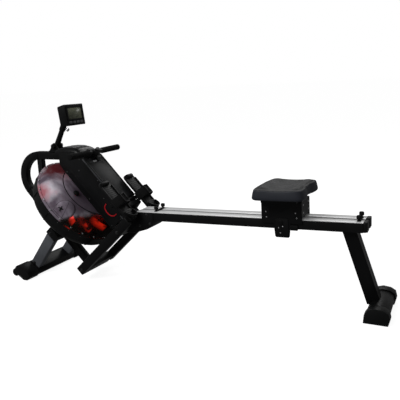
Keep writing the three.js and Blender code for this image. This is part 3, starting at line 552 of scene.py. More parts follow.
def add_drain_boss():
    """The round swelling low on the near slope of the dome, with its seam and the cross-shaped drain plug."""
    columns, rows = 72, 10

    def swelling(turn, reach):
        x = BOSS_ALONG + BOSS_RADIUS * reach * cos(turn)
        y = BOSS_Y + BOSS_RADIUS * reach * sin(turn)
        radius = hypot(x, y)
        limit = min(1.0, 0.266 / radius)
        x, y = x * limit, y * limit
        rise = 0.0105 * sqrt(max(0.0, 1 - reach**2.4)) * (1 if limit == 1 else 0.4)
        return (x, y, dome_height(min(radius, 0.266)) + 0.0004 + rise)

    cap = Shape(DRIVE)
    points = [swelling(0, 0)]
    faces = []
    for row in range(rows):
        points += [swelling(2 * pi * i / columns, (row + 1) / rows) for i in range(columns)]
        for i in range(columns):
            a, b = 1 + row * columns + i, 1 + row * columns + (i + 1) % columns
            faces.append((a - columns, b - columns, b, a) if row else (0, a, b))
    cap.add(points, faces)
    cap.piece("drain_boss", "frame", TANK_CLEAR)

    seams = Shape(DRIVE)
    ring = [swelling(2 * pi * i / 96, 1.0) for i in range(97)]
    seams.sweep(ring, circle(0.0011, 6))
    parting = [swelling(radians(125), 1 - i / 14) for i in range(15)]
    parting += [swelling(radians(-50), i / 14) for i in range(1, 13)]
    seams.sweep(parting, circle(0.0008, 6))
    seams.piece("drain_boss_seams", "frame", PLASTIC)

    spot = (0.03, -0.2515, dome_height(0.2533) + 0.0098)
    port = Shape(DRIVE @ facing(spot, (0.07, -0.62, 0.78)))
    port.disc(0.0065, -0.008, 0.0045, 28)
    for turn in (20, 110):
        arm = Matrix.Rotation(radians(turn), 4, "Z")
        port.prism(rounded(-0.015, 0.015, -0.0024, 0.0024, 0.0022), -0.004, 0.0032, arm)
    port.piece("drain_plug", "frame", PLASTIC, bevel=0.0004)


def add_tank():
    dome = Shape(DRIVE).lathe(DOME_OUTER + DOME_INNER, 128)
    dome.piece("tank_dome", "frame", TANK_CLEAR, replaces="tank_upper_shell")

    dish = Shape(DRIVE)
    profile = [
        (0, -0.1098), (0.19, -0.1098), (0.212, -0.108), (0.231, -0.1025), (0.248, -0.0935), (0.261, -0.081),
        (0.27, -0.066), (0.2738, -0.05), (0.2742, -0.013), (0.2795, -0.0105), (0.2795, -0.0005),
        (0.2665, -0.0005), (0.2665, -0.05), (0.262, -0.066), (0.25, -0.08), (0.236, -0.091), (0.215, -0.1),
        (0.19, -0.1035), (0, -0.1035),
    ]
    dish.lathe(profile, 128)
    rib = [
        (0.262, -0.0795), (0.2738, -0.05), (0.2742, -0.0135),
        (0.2775, -0.0135), (0.2768, -0.052), (0.2645, -0.082),
    ]
    ribs = 12
    for i in range(ribs):
        turn = Matrix.Rotation(2 * pi * i / ribs, 4, "Z")
        dish.prism(rib, -0.002, 0.002, turn @ Matrix.Rotation(pi / 2, 4, "X"))
    for radius in (0.06, 0.12, 0.178):
        inner, outer = radius - 0.002, radius + 0.002
        dish.lathe([(inner, -0.1104), (outer, -0.1104), (outer, -0.109), (inner, -0.109)], 96)
    dish.piece("tank_dish", "frame", PLASTIC, replaces="tank_lower_shell", bevel=0.0008)

    bolts = Shape(DRIVE)
    nuts = Shape(DRIVE)
    for x, y in circle(0.2725, TANK_BOLTS):
        add_hex_bolt(bolts, (x, y, 0.0085), (0, 0, 1), 0.0042, 0.0035)
        nuts.prism(circle(0.0044, 6), 0, 0.004, facing((x, y, -0.0105), (0, 0, -1)))
    bolts.piece("tank_bolts", "frame", STEEL, bevel=0.0003)
    nuts.piece("tank_nuts", "frame", STEEL, bevel=0.0003)

    seals = Shape(DRIVE)
    seals.lathe([(0.17 + x, 0.0835 + z) for x, z in circle(0.0022, 10)], 128)
    seals.lathe([(0.2672 + x, 0.0095 + z) for x, z in circle(0.0016, 8)], 128)
    seals.piece("tank_seals", "frame", RUBBER)

    plug = Shape(DRIVE @ shifted(-0.006, -0.124, 0.0))
    profile = [
        (0, 0.0926), (0.0175, 0.0926), (0.0175, 0.0965), (0.0155, 0.0975), (0.015, 0.1015), (0.013, 0.103),
        (0, 0.103),
    ]
    plug.lathe(profile, 48)
    plug.box((-0.0035, -0.0125, 0.1025), (0.0035, 0.0125, 0.1052))
    for x, y in circle(0.0152, 18):
        plug.disc(0.0009, 0.0975, 0.1015, 8, shifted(x, y, 0))
    plug.piece("filler_plug_cap", "frame", PLASTIC, replaces="fill_plug", bevel=0.0004)

    add_drain_boss()


BLADES = 12


def add_impeller():
    rotor = Shape(DRIVE)
    profile = [
        (0, -0.0958), (0.0078, -0.0958), (0.0078, -0.074), (0.012, -0.072), (0.034, -0.07), (0.034, -0.06),
        (0.026, -0.052), (0.024, 0.006), (0.034, 0.012), (0.034, 0.016), (0.013, 0.032), (0.0078, 0.04),
        (0.0078, 0.1995), (0, 0.1995),
    ]
    rotor.lathe(profile, 48)
    root, tip, steps = 0.022, 0.213, 12
    for i in range(BLADES):
        rear_face, front_face = [], []
        for k in range(steps + 1):
            radius = root + (tip - root) * k / steps
            sweep = 2 * pi * i / BLADES + 0.55 * (radius / tip) ** 1.6
            half_thick = 0.0032 / radius
            rear_face.append(polar(radius, sweep - half_thick))
            front_face.append(polar(radius, sweep + half_thick))
        rotor.prism(rear_face + front_face[::-1], -0.066, 0.014)
    rotor.piece("impeller_rotor", "rotor", IMPELLER_RED, replaces="impeller", bevel=0.0008)


add_tank()
add_impeller()


# ---- drive casing ----
CASING_SIDE = 0.087
FACE_HIGH = 0.245
FACE_LOW = 0.2
STEP_ALONG = 0.246
TROUGH_START = 0.186
TROUGH_END = 0.214


def add_casing_details():
    panel = Shape(DRIVE)
    base = FACE_HIGH + 0.0004
    top, rim_top = base + 0.0024, base + 0.0042
    panel.box((-0.079, -0.0735, base), (0.1795, 0.0735, top))
    panel.box((-0.116, -0.0735, base), (-0.1128, 0.0735, top))
    panel.box((TROUGH_END + 0.003, -0.0735, base), (STEP_ALONG - 0.007, 0.0735, top))
    for _, side in SIDES:
        inner, outer = band(side, 0.0225, 0.0735)
        panel.box((-0.1129, inner, base), (-0.0789, outer, top))
        low, high = band(side, 0.076, 0.0845)
        panel.box((-0.124, low, base), (0.182, high, rim_top))
        panel.box((TROUGH_END + 0.002, low, base), (STEP_ALONG - 0.007, high, rim_top))
    panel.piece("face_panel", "frame", PANEL, replaces="casing_face_panel", bevel=0.0012)

    screws = Shape(DRIVE)
    for along, across in ((-0.1, 0.067), (0.038, 0.067), (-0.1, -0.067), (0.038, -0.067)):
        add_socket_bolt(screws, (along, across, base + 0.0022), (0, 0, 1), 0.0035, 0.0016)
    spots = (
        (-0.131, 0.226), (-0.091, 0.177), (-0.14, 0.11), (0.028, 0.232),
        (0.06, 0.112), (0.254, 0.112), (0.268, 0.188), (0.12, 0.188),
    )
    add_side_bolts(add_socket_bolt, screws, spots, CASING_SIDE - 0.0003, 0.0034, 0.0018)
    screws.piece("casing_screws", "frame", BLACK_STEEL)

    trim = Shape(DRIVE)
    hook = (
        (0.15, 0.176), (0.154, 0.16), (0.168, 0.149), (0.192, 0.146),
        (0.214, 0.152), (0.228, 0.168), (0.23, 0.188),
    )
    for _, side in SIDES:
        path = smooth_path([(along, side * (CASING_SIDE + 0.0008), height) for along, height in hook])
        trim.sweep(path, rounded(-0.0016, 0.0016, -0.003, 0.003, 0.0014, 3))
    trim.piece("red_trim", "frame", TRIM_RED)

    edges = Shape(DRIVE)
    seams = Shape(DRIVE)
    runs = (
        (-0.118, TROUGH_START - 0.002, FACE_HIGH - 0.006, FACE_HIGH),
        (TROUGH_END + 0.002, STEP_ALONG - 0.004, FACE_HIGH - 0.006, FACE_HIGH),
        (STEP_ALONG + 0.006, 0.283, FACE_LOW - 0.005, FACE_LOW),
    )
    for _, side in SIDES:
        low, high = band(side, CASING_SIDE - 0.004, CASING_SIDE + 0.0012)
        for start, end, bottom, face in runs:
            edges.box((start, low, bottom), (end, high, face + 0.0012))
        seams.box((-0.15, low, 0.0995), (0.266, high, 0.1045))
        low, high = band(side, CASING_SIDE - 0.002, CASING_SIDE + 0.0006)
        seams.box((-0.138, low, 0.135), (0.266, high, 0.138))
    # the edge strips carry the painted highlight, the seams stay plain black
    edges.piece("casing_edges_painted_highlight", "frame", CASING_EDGE_PAINTED_HIGHLIGHT, bevel=0.0012)
    seams.piece("casing_seams", "frame", PLASTIC, bevel=0.0012)


def add_top_cover():
    low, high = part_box("casing_top_cover")
    columns, rows = 28, 20
    length, half = high.x - low.x, (high.y - low.y) / 2

    def surface(u, v):
        """u runs from the front to the user's side, v from -1 to 1 across."""
        arch = max(0.0, 1 - abs(2 * u - 0.86) ** 2.6) ** 0.5
        crown = max(0.0, 1 - abs(v) ** 5) ** 0.5
        rib = 0.0012 * max(0.0, cos(v * pi * 5)) ** 4 * (1 if 0.12 < u < 0.88 else 0)
        return (low.x + length * u, half * v, low.z + (high.z - low.z - 0.0012) * arch * crown + rib * crown)

    points = [surface(i / columns, 2 * j / rows - 1) for i in range(columns + 1) for j in range(rows + 1)]
    top_count = len(points)
    points += [(x, y, low.z - 0.0001) for x, y, _ in points]

    def index(i, j):
        return i * (rows + 1) + j

    faces = []
    for i in range(columns):
        for j in range(rows):
            quad = (index(i, j), index(i + 1, j), index(i + 1, j + 1), index(i, j + 1))
            faces += [quad, tuple(top_count + k for k in reversed(quad))]
    border = [index(i, 0) for i in range(columns)] + [index(columns, j) for j in range(rows)]
    border += [index(i, rows) for i in range(columns, 0, -1)] + [index(0, j) for j in range(rows, 0, -1)]
    for a, b in zip(border, border[1:] + border[:1]):
        faces.append((a, b, top_count + b, top_count + a))
    cover = Shape().add(points, faces)
    cover.piece("top_cover", "frame", COVER_GLOSS, replaces="casing_top_cover")

    stripes = Shape()
    for across in (-0.046, -0.016, 0.016, 0.046):
        path = [Vector(surface(0.3 + 0.4 * i / 12, across / half)) for i in range(13)]
        path = [point + Vector((0, 0, 0.0004)) for point in path]
        stripes.sweep(path, rounded(-0.0065, 0.0065, -0.0006, 0.0006, 0.0005, 2))
    stripes.piece("top_cover_stripes", "frame", STRIPE_GREY)


# ---- handle and strap ----
HANDLE = Vector((-0.123, 0, 0.281))
STRAP_ALONG = -0.1076


def add_handle():
    here = DRIVE @ Matrix.Translation(HANDLE)
    bar = Shape(here)
    bar.disc(0.0128, -0.214, 0.214, 32, ALONG_Y)
    clamp = [(0, -0.03), (0.0165, -0.03), (0.018, -0.026), (0.018, 0.026), (0.0165, 0.03), (0, 0.03)]
    bar.lathe(clamp, 32, ALONG_Y)
    bar.prism(rounded(-0.007, 0.019, -0.0125, -0.003, 0.002, 3), -0.0165, 0.0165, ALONG_Y)
    bar.prism(rounded(-0.006, 0.006, 0.012, 0.023, 0.004, 4), -0.012, 0.012, ALONG_Y)
    bar.piece("handle_tube", "handle", FRAME_BLACK, replaces="handle_bar", bevel=0.0008)
    for name, side in SIDES:
        grip = Shape(here @ Matrix.Rotation(0 if side > 0 else pi, 4, "X"))
        profile = [(0.0131, 0.0585), (0.015, 0.0585), (0.0166, 0.0605)]
        ribs = 19
        for i in range(ribs):
            start = 0.063 + i * 0.0082
            profile += [(0.0166, start), (0.0166, start + 0.0058)]
            profile += [(0.016, start + 0.0064), (0.016, start + 0.0076)]
        profile += [(0.0168, 0.219), (0.016, 0.2208), (0.013, 0.222)]
        profile += [(0, 0.222), (0, 0.215), (0.0131, 0.215)]
        grip.lathe(profile, 40, ALONG_Y.transposed())
        grip.piece(f"grip_{name}", "handle", FOAM, replaces=f"handle_grip_{name}")

    strap = Shape(DRIVE)
    steps = 40
    path = [(STRAP_ALONG, 0, 0.2405 + (0.269 - 0.2405) * i / steps) for i in range(steps + 1)]
    strap.sweep(path, rounded(-0.013, 0.013, -0.0009, 0.0009, 0.0006, 2))
    strap = strap.piece("webbing_strap", None, WEBBING, replaces="pull_strap")
    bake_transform(strap)

    rest = Shape(DRIVE)
    rest.prism(rounded(-0.149, -0.117, -0.055, 0.055, 0.005, 4), FACE_HIGH + 0.0004, FACE_HIGH + 0.008)
    hook = arc(HANDLE.x, HANDLE.z, 0.0133, 158, 300, 16)
    hook += [(-0.113, 0.264), (-0.115, 0.252), (-0.144, 0.252)]
    hook += [(-0.149, 0.27), (-0.1485, 0.285), (-0.14, 0.288)]
    for _, side in SIDES:
        rest.prism(hook, *band(side, 0.032, 0.051), FLAT_SIDE)
    rest.piece("handle_cradle", "frame", PLASTIC, replaces="handle_rest", bevel=0.001)


# ---- foot rests ----
PLATE_LOW = 0.264
PLATE_TOP = 0.273
PLATE_TOE = 0.066
PLATE_HEEL = 0.326


def add_foot_board(name, mid):
    y0, y1 = mid - 0.0475, mid + 0.0475
    plate = Shape(DRIVE)
    plate.prism(rounded(PLATE_TOE, PLATE_HEEL, y0, y1, 0.026, 8), PLATE_LOW, PLATE_TOP - 0.0015)
    for edge in (y0 + 0.0035, y1 - 0.0035):
        lip = rounded(PLATE_TOE + 0.03, PLATE_HEEL - 0.022, edge - 0.0035, edge + 0.0035, 0.003, 3)
        plate.prism(lip, PLATE_TOP - 0.002, PLATE_TOP + 0.0045)
    for i in range(7):
        along = PLATE_TOE + 0.036 + i * 0.012
        grip = rounded(along - 0.0022, along + 0.0022, y0 + 0.012, y1 - 0.012, 0.002, 3)
        plate.prism(grip, PLATE_TOP - 0.002, PLATE_TOP - 0.0007)
    for across in (-0.03, 0.03):
        under = rounded(0.095, 0.284, mid + across - 0.003, mid + across + 0.003, 0.002, 2)
        plate.prism(under, PLATE_LOW - 0.01, PLATE_LOW + 0.001)
    roll = [(0, -0.027), (0.01, -0.027), (0.013, -0.023), (0.013, 0.023), (0.01, 0.027), (0, 0.027)]
    plate.lathe(roll, 28, shifted(PLATE_TOE + 0.014, mid, PLATE_TOP + 0.002) @ ALONG_Y)
    plate.prism(rounded(0.182, 0.218, mid - 0.022, mid + 0.022, 0.004, 3), 0.2515, PLATE_LOW + 0.001)
    plate.piece(f"foot_board_{name}", "frame", PLASTIC, replaces=f"foot_plate_{name}", bevel=0.0008)


def add_heel_rest(name, mid, body):
    cup = Shape(DRIVE)
    y0, y1 = mid - 0.0395, mid + 0.0395
    base = rounded(PLATE_HEEL - 0.062, PLATE_HEEL - 0.004, y0, y1, 0.012, 6)
    cup.prism(base, PLATE_TOP + 0.0007, PLATE_TOP + 0.006)
    centre = PLATE_HEEL - 0.045
    steps = 28
    rings = []
    for i in range(steps + 1):
        angle = radians(-100 + 200 * i / steps)
        c, s = cos(angle), sin(angle)
        height = 0.012 + 0.021 * max(0.0, (0.014 + 0.0405 * c) / 0.056)
        outer = (centre + 0.0405 * c, mid + 0.0395 * s)
        inner = (centre + 0.0355 * c, mid + 0.0345 * s)
        low, high = PLATE_TOP + 0.005, PLATE_TOP + height
        rings.append([(*outer, low), (*outer, high), (*inner, high), (*inner, low)])
    cup.loft(rings)
    for i in range(4):
        along = PLATE_HEEL - 0.055 + i * 0.011
        grip = rounded(along - 0.002, along + 0.002, y0 + 0.014, y1 - 0.014, 0.0015, 2)
        cup.prism(grip, PLATE_TOP + 0.005, PLATE_TOP + 0.007)
    cup.piece(f"heel_rest_{name}", body, PLASTIC, replaces=f"heel_cup_{name}", bevel=0.0008)


def add_foot_webbing(name, mid):
    base = PLATE_TOP - 0.015
    steps = 36
    outline = []
    for half, rise, order in ((0.0517, 0.0585, 1), (0.0488, 0.0557, -1)):
        ring = []
        for i in range(steps + 1):
            angle = pi * i / steps
            c, s = cos(angle), sin(angle)
            ring.append((mid + half * copysign(abs(c) ** 0.72, c), base + rise * abs(s) ** 0.72))
        outline += ring[::order]
    strap = Shape(DRIVE).prism(outline, 0.1845, 0.2355, ACROSS)
    strap.piece(f"foot_webbing_{name}", "frame", WEBBING, replaces=f"foot_strap_{name}", bevel=0.0004)

    buckle = Shape(DRIVE)
    high = base + 0.0583
    for low_s, high_s in ((0.181, 0.187), (0.233, 0.239)):
        bar = rounded(low_s, high_s, mid - 0.019, mid + 0.019, 0.002, 3)
        buckle.prism(bar, high - 0.001, high + 0.004)
    for offset in (-0.0165, 0.0165):
        bar = rounded(0.182, 0.238, mid + offset - 0.0025, mid + offset + 0.0025, 0.002, 3)
        buckle.prism(bar, high - 0.001, high + 0.004)
    buckle.piece(f"strap_buckle_{name}", "frame", PLASTIC, bevel=0.0006)


def add_foot_rests():
    for name, side in SIDES:
        mid = side * 0.118
        add_foot_board(name, mid)
        add_heel_rest(name, mid, "heel_cup_left" if side < 0 else "heel_cup_right")
        add_foot_webbing(name, mid)


# ---- seat ----
SEAT_FRONT = 0.4465  # corners of the moulded seat in the rail's frame
SEAT_REAR = 0.6955
SEAT_HALF = 0.1615
SEAT_BASE = 0.1036
SEAT_AROUND = 192
BAND_RINGS = range(3, 12)  # gaps between the rings of the upright side, which has the paler look


def bump_at(value, centre, width):
    return exp(-(((value - centre) / width) ** 2))


def seat_height(x, y):
    """Height of the moulded top over the pad's base. x and y run from -1 to 1, x to the rear."""
    across = abs(y)
    height = 0.049
    height += 0.0125 * bump_at(x, -0.6, 0.28) * bump_at(across, 0.45, 0.42)
    height += 0.0085 * bump_at(x, 0.66, 0.3) * bump_at(across, 0.55, 0.36)
    height -= 0.0065 * bump_at(x, 0.7, 0.5) * bump_at(y, 0, 0.2)
    height -= 0.007 * bump_at(x, 0.02, 0.34) * bump_at(across, 0.48, 0.34)
    return height


def seat_outline(turn):
    """The seat in plan: almost a rectangle, bowed at the front and hollow at the rear."""
    c, s = cos(turn), sin(turn)
    x = copysign(abs(c) ** 0.24, c)
    y = copysign(abs(s) ** 0.24, s)
    if x > 0:
        x -= 0.15 * exp(-((y / 0.36) ** 2)) * x
    else:
        x += 0.07 * (1 - y * y) * x
    return x, y


def add_seat():
    mid, reach = (SEAT_FRONT + SEAT_REAR) / 2, (SEAT_REAR - SEAT_FRONT) / 2
    even_turns = [2 * pi * i / SEAT_AROUND for i in range(SEAT_AROUND)]
    plan = [seat_outline(turn - 0.235 * sin(4 * turn)) for turn in even_turns]

    def ring(inwards, height):
        """A ring moved inwards by that many metres, at a height or at a height for each point."""
        points = []
        for x, y in plan:
            px, py = x * (reach - inwards), y * (SEAT_HALF - inwards)
            z = height(x, y) if callable(height) else height
            points.append((mid + px, py, SEAT_BASE + z))
        return points

    def rim(drop):
        return lambda x, y: seat_height(x, y) - 0.0025 - drop

    lower_rings = (
        (0.075, 0), (0.045, 0), (0.022, 0), (0.01, 0), (0.0045, 0.0008),
        (0.0012, 0.0038), (0, 0.008), (0.0008, 0.016), (0.0025, 0.026), (0.0045, 0.035),
    )
    rings = [ring(inwards, height) for inwards, height in lower_rings]
    for inwards, drop in ((0.0062, 0.006), (0.007, 0.0032), (0.0088, 0.001), (0.0118, 0.0002)):
        rings.append(ring(inwards, rim(drop)))
    for share in (0.88, 0.84, 0.79, 0.73, 0.66, 0.58, 0.49, 0.4, 0.31, 0.22, 0.13, 0.06):
        blend = min(1.0, (0.9 - share) / 0.14)
        blend = blend * blend * (3 - 2 * blend)
        points = []
        for x, y in plan:
            low = rim(0.0002)(x, y)
            height = low + (seat_height(x * share, y * share) - low) * blend
            points.append((mid + x * share * reach, y * share * SEAT_HALF, SEAT_BASE + height))
        rings.append(points)
    points = [(mid, 0, SEAT_BASE)] + [p for points in rings for p in points]
    points.append((mid, 0, SEAT_BASE + seat_height(0, 0)))
    skin_faces, band_faces = [], []
    last = len(points) - 1
    tip = 1 + (len(rings) - 1) * SEAT_AROUND
    for i in range(SEAT_AROUND):
        j = (i + 1) % SEAT_AROUND
        skin_faces += [(0, 1 + i, 1 + j), (last, tip + i, tip + j)]
        for k in range(len(rings) - 1):
            a, b = 1 + k * SEAT_AROUND + i, 1 + k * SEAT_AROUND + j
            faces = band_faces if k in BAND_RINGS else skin_faces
            faces.append((a, b, b + SEAT_AROUND, a + SEAT_AROUND))
    shape = Shape(RAIL).add(points, skin_faces + band_faces)
    for face in list(shape.mesh.faces)[len(skin_faces):]:
        face.material_index = 1
    seat = shape.piece("moulded_seat", "seat", SEAT_SKIN, SEAT_BAND, replaces="seat_pad")


def add_carriage_details():
    bolts = Shape()
    plate_spots = ((0.492, 0.456), (0.495, 0.43), (0.634, 0.457), (0.64, 0.433))
    add_side_bolts(add_socket_bolt, bolts, plate_spots, 0.0718, 0.0038, 0.0024)
    tab_spots = ((0.554, 0.382), (0.574, 0.39), (0.563, 0.358))
    add_side_bolts(add_socket_bolt, bolts, tab_spots, 0.074, 0.0036, 0.0024)
    for y in (-0.045, 0.045):
        for z in (0.455, 0.492):
            add_socket_bolt(bolts, (0.6632, y, z), (1, 0, 0), 0.0045, 0.002)
    bolts.piece("carriage_bolts", "seat", STEEL, bevel=0.0002)

    plates = Shape(RAIL)
    hub_place = FLAT_SIDE @ shifted(0.564, -0.015, 0)
    for _, side in SIDES:
        plates.prism(rounded(0.54, 0.6, -0.082, 0.004, 0.008, 4), *band(side, 0.0716, 0.0745), FLAT_SIDE)
        for start, end in ((0.474, 0.512), (0.623, 0.661)):
            plates.prism(rounded(start, end, 0.006, 0.06, 0.004, 3), *band(side, 0.0716, 0.073), FLAT_SIDE)
        foot = rounded(0.608, 0.644, -0.051, -0.026, 0.004, 4)
        plates.prism(foot, *band(side, 0.0654, 0.0735), FLAT_SIDE)
        plates.disc(0.0105, *band(side, 0.0716, 0.0785), 28, hub_place)
    plates.piece("carriage_plates", "seat", FRAME_BLACK, bevel=0.0008)


# ---- rail ends ----
def add_rail_details():
    lobes = Shape(RAIL)
    for _, side in SIDES:
        y0, y1 = band(side, 0.012, 0.0635)
        lobes.prism(rounded(y0, y1, -0.045, 0.003, 0.006, 4), 0.9355, 0.9535, ACROSS)
    lobes.prism(rounded(-0.064, 0.064, -0.0462, -0.003, 0.004, 3), 0.9355, 0.946, ACROSS)
    lobes.piece("rail_end_plug", "frame", PLASTIC, replaces="rail_end_cap", bevel=0.002)

    for name in ("front", "rear"):
        node = f"bumper_{name}"
        low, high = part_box(node)
        stops = Shape(Matrix.Translation(((low.x + high.x) / 2, 0, 0)))
        stops.prism(rounded(-0.0085, 0.0085, -0.046, 0.046, 0.003, 3), low.z + 0.0002, low.z + 0.0035)
        button = [
            (0, low.z + 0.003), (0.006, low.z + 0.003), (0.006, low.z + 0.01), (0.0108, low.z + 0.011),
            (0.0112, low.z + 0.014), (0.0112, high.z - 0.004), (0.0095, high.z - 0.0006), (0.007, high.z),
            (0, high.z),
        ]
        for y in (-0.036, 0.036):
            stops.lathe(button, 32, shifted(0, y, 0))
        stops.piece(f"stops_{name}", "frame", RUBBER, replaces=node, bevel=0.0004)

    bolts = Shape()
    bracket_spots = ((-0.171, 0.392), (-0.216, 0.33), (-0.153, 0.344))
    add_side_bolts(add_hex_bolt, bolts, bracket_spots, 0.0684, 0.0062, 0.0042)
    tube_spots = [(-0.905, 0.073)]
    for along, height in ((0.319, 0.16), (0.319, -0.19), (0.04, -0.205)):
        spot = on_drive(along, 0, height)
        tube_spots.append((spot.x, spot.z))
    add_side_bolts(add_hex_bolt, bolts, tube_spots, 0.1549, 0.0075, 0.005)
    bolts.piece("frame_bolts", "frame", BLACK_STEEL, bevel=0.0003)


# ---- console and mast ----
def add_console():
    case = Shape(CONSOLE)
    side_profile = [
        (-0.04, -0.05), (0.000, -0.058), (0.0035, -0.055), (0.0035, 0.055), (0.000, 0.059), (-0.042, 0.052),
        (-0.046, 0.046), (-0.044, -0.044),
    ]
    case.prism(side_profile, -0.079, 0.079, FLAT_SIDE)
    rim_bars = (
        (-0.07, -0.058, -0.026, 0.049), (0.058, 0.07, -0.026, 0.049),
        (-0.07, 0.07, 0.038, 0.049), (-0.07, 0.07, -0.028, -0.021),
    )
    for rim_bar in rim_bars:
        case.prism(rounded(*rim_bar, 0.003, 3), 0.003, 0.0062, ACROSS)
    ear = [(-0.044, -0.046), (-0.044, -0.006)] + arc(-0.068, -0.02, 0.013, 90, 270, 12)
    for _, side in SIDES:
        case.prism(ear, *band(side, 0.0165, 0.022), FLAT_SIDE)
    case.piece("console_case", "console", CONSOLE_BLACK, replaces="console_body", bevel=0.0022)

    screen = Shape(CONSOLE)
    screen.prism(rounded(-0.0585, 0.0585, -0.0215, 0.0385, 0.002, 3), 0.0032, 0.0043, ACROSS)
    screen.piece("console_screen", "console", LCD)

    digits = Shape(CONSOLE)

    def add_ink(y, z, width, height):
        outline = [(y, z), (y + width, z), (y + width, z + height), (y, z + height)]
        digits.prism(outline, 0.0041, 0.0045, ACROSS)

    def add_zero(y, z, width, height):
        """Six segments round an open middle."""
        thick = width * 0.16
        gap = 0.86
        for level in (0, height):
            add_ink(y - width * gap / 2, z + level - thick * gap / 2, width * gap, thick * gap)
        for across in (-width / 2, width / 2):
            for share in (0.25, 0.75):
                low = z + height * share - height * gap / 4
                add_ink(y + across - thick * gap / 2, low, thick * gap, height * gap / 2)

    for y in (-0.034, -0.019, 0.002, 0.017):
        add_zero(y, 0.013, 0.0085, 0.0165)
    for y in (-0.04, -0.0315, -0.023, 0.012, 0.0205, 0.029):
        add_zero(y, -0.0145, 0.005, 0.0095)
    for z in (-0.0005, 0.0345):
        add_ink(-0.052, z, 0.104, 0.0007)
    digits.piece("screen_segments", "console", LCD_INK)

    for i in range(1, 5):
        node = f"console_key_{i}"
        low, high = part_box(node)
        y = (low.y + high.y) / 2
        key = Shape(CONSOLE)
        key.prism(rounded(y - 0.0109, y + 0.0109, -0.0458, -0.0332, 0.004, 5), 0.0021, 0.0059, ACROSS)
        key.prism(rounded(y - 0.006, y + 0.006, -0.0403, -0.0387, 0.0007, 3), 0.0058, 0.0061, ACROSS, 1)
        key.piece(f"key_cap_{i}", f"key_{i}", KEY_GREY, LCD_INK, replaces=node, bevel=0.0006)


def add_mast_details():
    tube = Shape(MAST)
    profile = [
        (0, -0.0118), (0.015, -0.0118), (0.0158, -0.009), (0.0158, 0.04), (0.015, 0.046), (0.0134, 0.174),
        (0.012, 0.1755), (0, 0.1755),
    ]
    tube.lathe(profile, 40)
    pivot = [(0, -0.0158), (0.0105, -0.0158), (0.0112, -0.015)]
    pivot += [(0.0112, 0.015), (0.0105, 0.0158), (0, 0.0158)]
    tube.lathe(pivot, 32, shifted(0, 0, 0.1685) @ ALONG_Y)
    tube.lathe([(0.0155, 0.1), (0.0175, 0.101), (0.0175, 0.138), (0.0155, 0.139)], 40)
    knob_place = shifted(0, 0, 0.1225) @ Matrix.Rotation(pi / 2, 4, "Y")
    tube.disc(0.0062, 0.012, 0.022, 24, knob_place)
    tube.piece("mast_tube", "mast_arm", FRAME_BLACK, replaces="mast", bevel=0.0006)

    knob = Shape(MAST @ knob_place)
    knob.disc(0.0032, 0.02, 0.028, 16)
    corners = 80
    outline = [polar(0.0098 if i % 4 in (1, 2) else 0.009, 2 * pi * i / corners) for i in range(corners)]
    knob.prism(outline, 0.027, 0.039)
    knob.disc(0.007, 0.0385, 0.0405, 24)
    knob.piece("clamp_thumb_screw", "mast_arm", STEEL, bevel=0.0003)

    bracket = Shape(MAST_FOOT)
    bracket.prism(rounded(-0.046, 0.044, -0.024, 0.024, 0.005, 4), -0.0337, -0.0265)
    ear = [(0.04, -0.027), *arc(0, 0, 0.018, 0, 180, 18), (-0.04, -0.027)]
    lobes = 7
    turns = [2 * pi * i / (lobes * 8) for i in range(lobes * 8)]
    grip = [polar(0.0122 + 0.0014 * cos(lobes * turn), turn) for turn in turns]
    for _, side in SIDES:
        bracket.prism(ear, *band(side, 0.0175, 0.0238), FLAT_SIDE)
        bracket.prism(grip, *band(side, 0.026, 0.04), FLAT_SIDE)
        bracket.disc(0.008, *band(side, 0.023, 0.027), 24, FLAT_SIDE)
    bracket.disc(0.0048, -0.034, 0.034, 24, FLAT_SIDE)
    bracket.piece("mast_clamp", "frame", PLASTIC, replaces="mast_bracket", bevel=0.0008)
    washers = Shape()
    for x in (-0.822, -0.752):
        add_socket_bolt(washers, (x, 0, 0.7153), (0, 0, 1), 0.0055, 0.003)
    washers.piece("mast_clamp_bolts", "frame", STEEL)


add_casing_details()
add_top_cover()
add_handle()
add_foot_rests()
add_seat()
add_carriage_details()
add_rail_details()
add_console()
add_mast_details()


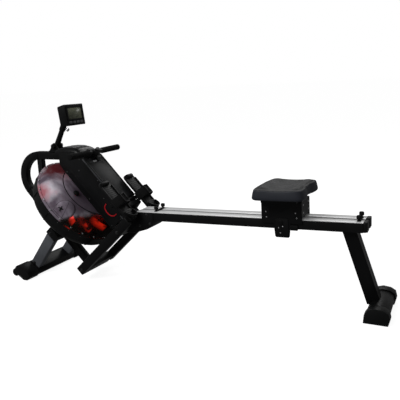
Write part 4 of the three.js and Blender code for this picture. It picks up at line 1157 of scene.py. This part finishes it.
# ---- stage: floor, light and camera ----
def add_stage():
    bpy.ops.mesh.primitive_plane_add(size=400, location=(0, 0, -0.001))
    floor = bpy.context.object
    floor.name = "floor"
    look = Paint("floor_paint", None, (0.4, 0.4, 0.4), 0.9)
    look.set(Emission_Color=(1, 1, 1, 1), Specular_IOR_Level=0.0)
    seen = look.node("LightPath", {}, "Is Camera Ray")
    look.feed("Emission Strength", look.rescaled(seen, 0.0, 1.0, 0.1, 0.905))
    look.feed("Base Color", look.rescaled(seen, 0.0, 1.0, 0.05, 0.4))
    floor.data.materials.append(look.material)
    world = bpy.data.worlds.new("studio")
    scene.world = world
    world.use_nodes = True
    tree = world.node_tree
    background = tree.nodes["Background"]
    background.inputs["Color"].default_value = (1, 1, 1, 1)
    strength = tree.nodes.new("ShaderNodeMapRange")
    strength.inputs["To Min"].default_value = 0.22
    strength.inputs["To Max"].default_value = 1.0
    seen = tree.nodes.new("ShaderNodeLightPath")
    tree.links.new(seen.outputs["Is Camera Ray"], strength.inputs["Value"])
    tree.links.new(strength.outputs["Result"], background.inputs["Strength"])
    scene.view_settings.view_transform = "Standard"


def add_area_light(name, place, target, size, power):
    light = bpy.data.lights.new(name, "AREA")
    light.shape = "RECTANGLE"
    light.size, light.size_y = size
    light.energy = power
    holder = bpy.data.objects.new(name, light)
    holder.location = place
    holder.rotation_euler = (Vector(target) - Vector(place)).to_track_quat("-Z", "Y").to_euler()
    scene.collection.objects.link(holder)


CAMERA_PLACE = Vector((1.2789, -2.3889, 1.0586))
CAMERA_AZIMUTH = radians(26.0)
CAMERA_ELEVATION = radians(12.4)
CAMERA_ROLL = radians(2.4)
CAMERA_LENS = 47.73
SENSOR_WIDTH = 36


def add_camera():
    level = cos(CAMERA_ELEVATION)
    back = Vector((sin(CAMERA_AZIMUTH) * level, -cos(CAMERA_AZIMUTH) * level, sin(CAMERA_ELEVATION)))
    right = Vector((cos(CAMERA_AZIMUTH), sin(CAMERA_AZIMUTH), 0))
    up = back.cross(right)
    rolled_right = cos(CAMERA_ROLL) * right - sin(CAMERA_ROLL) * up
    rolled_up = sin(CAMERA_ROLL) * right + cos(CAMERA_ROLL) * up
    data = bpy.data.cameras.new("camera")
    data.lens = CAMERA_LENS
    data.sensor_width = SENSOR_WIDTH
    camera = bpy.data.objects.new("camera", data)
    turn = Matrix((rolled_right, rolled_up, back)).transposed()
    camera.matrix_world = Matrix.Translation(CAMERA_PLACE) @ turn.to_4x4()
    scene.collection.objects.link(camera)
    scene.camera = camera


add_stage()
add_area_light("key_light", (-1.5, -3.2, 3.6), (-0.2, 0, 0.4), (2.6, 1.6), 120)
add_area_light("fill_light", (3.2, -2.0, 2.2), (0.2, 0, 0.4), (2.0, 2.0), 2)
add_area_light("rim_light", (-0.5, 3.4, 3.0), (0, 0, 0.5), (3.0, 1.4), 30)
add_camera()

bpy.context.view_layer.update()
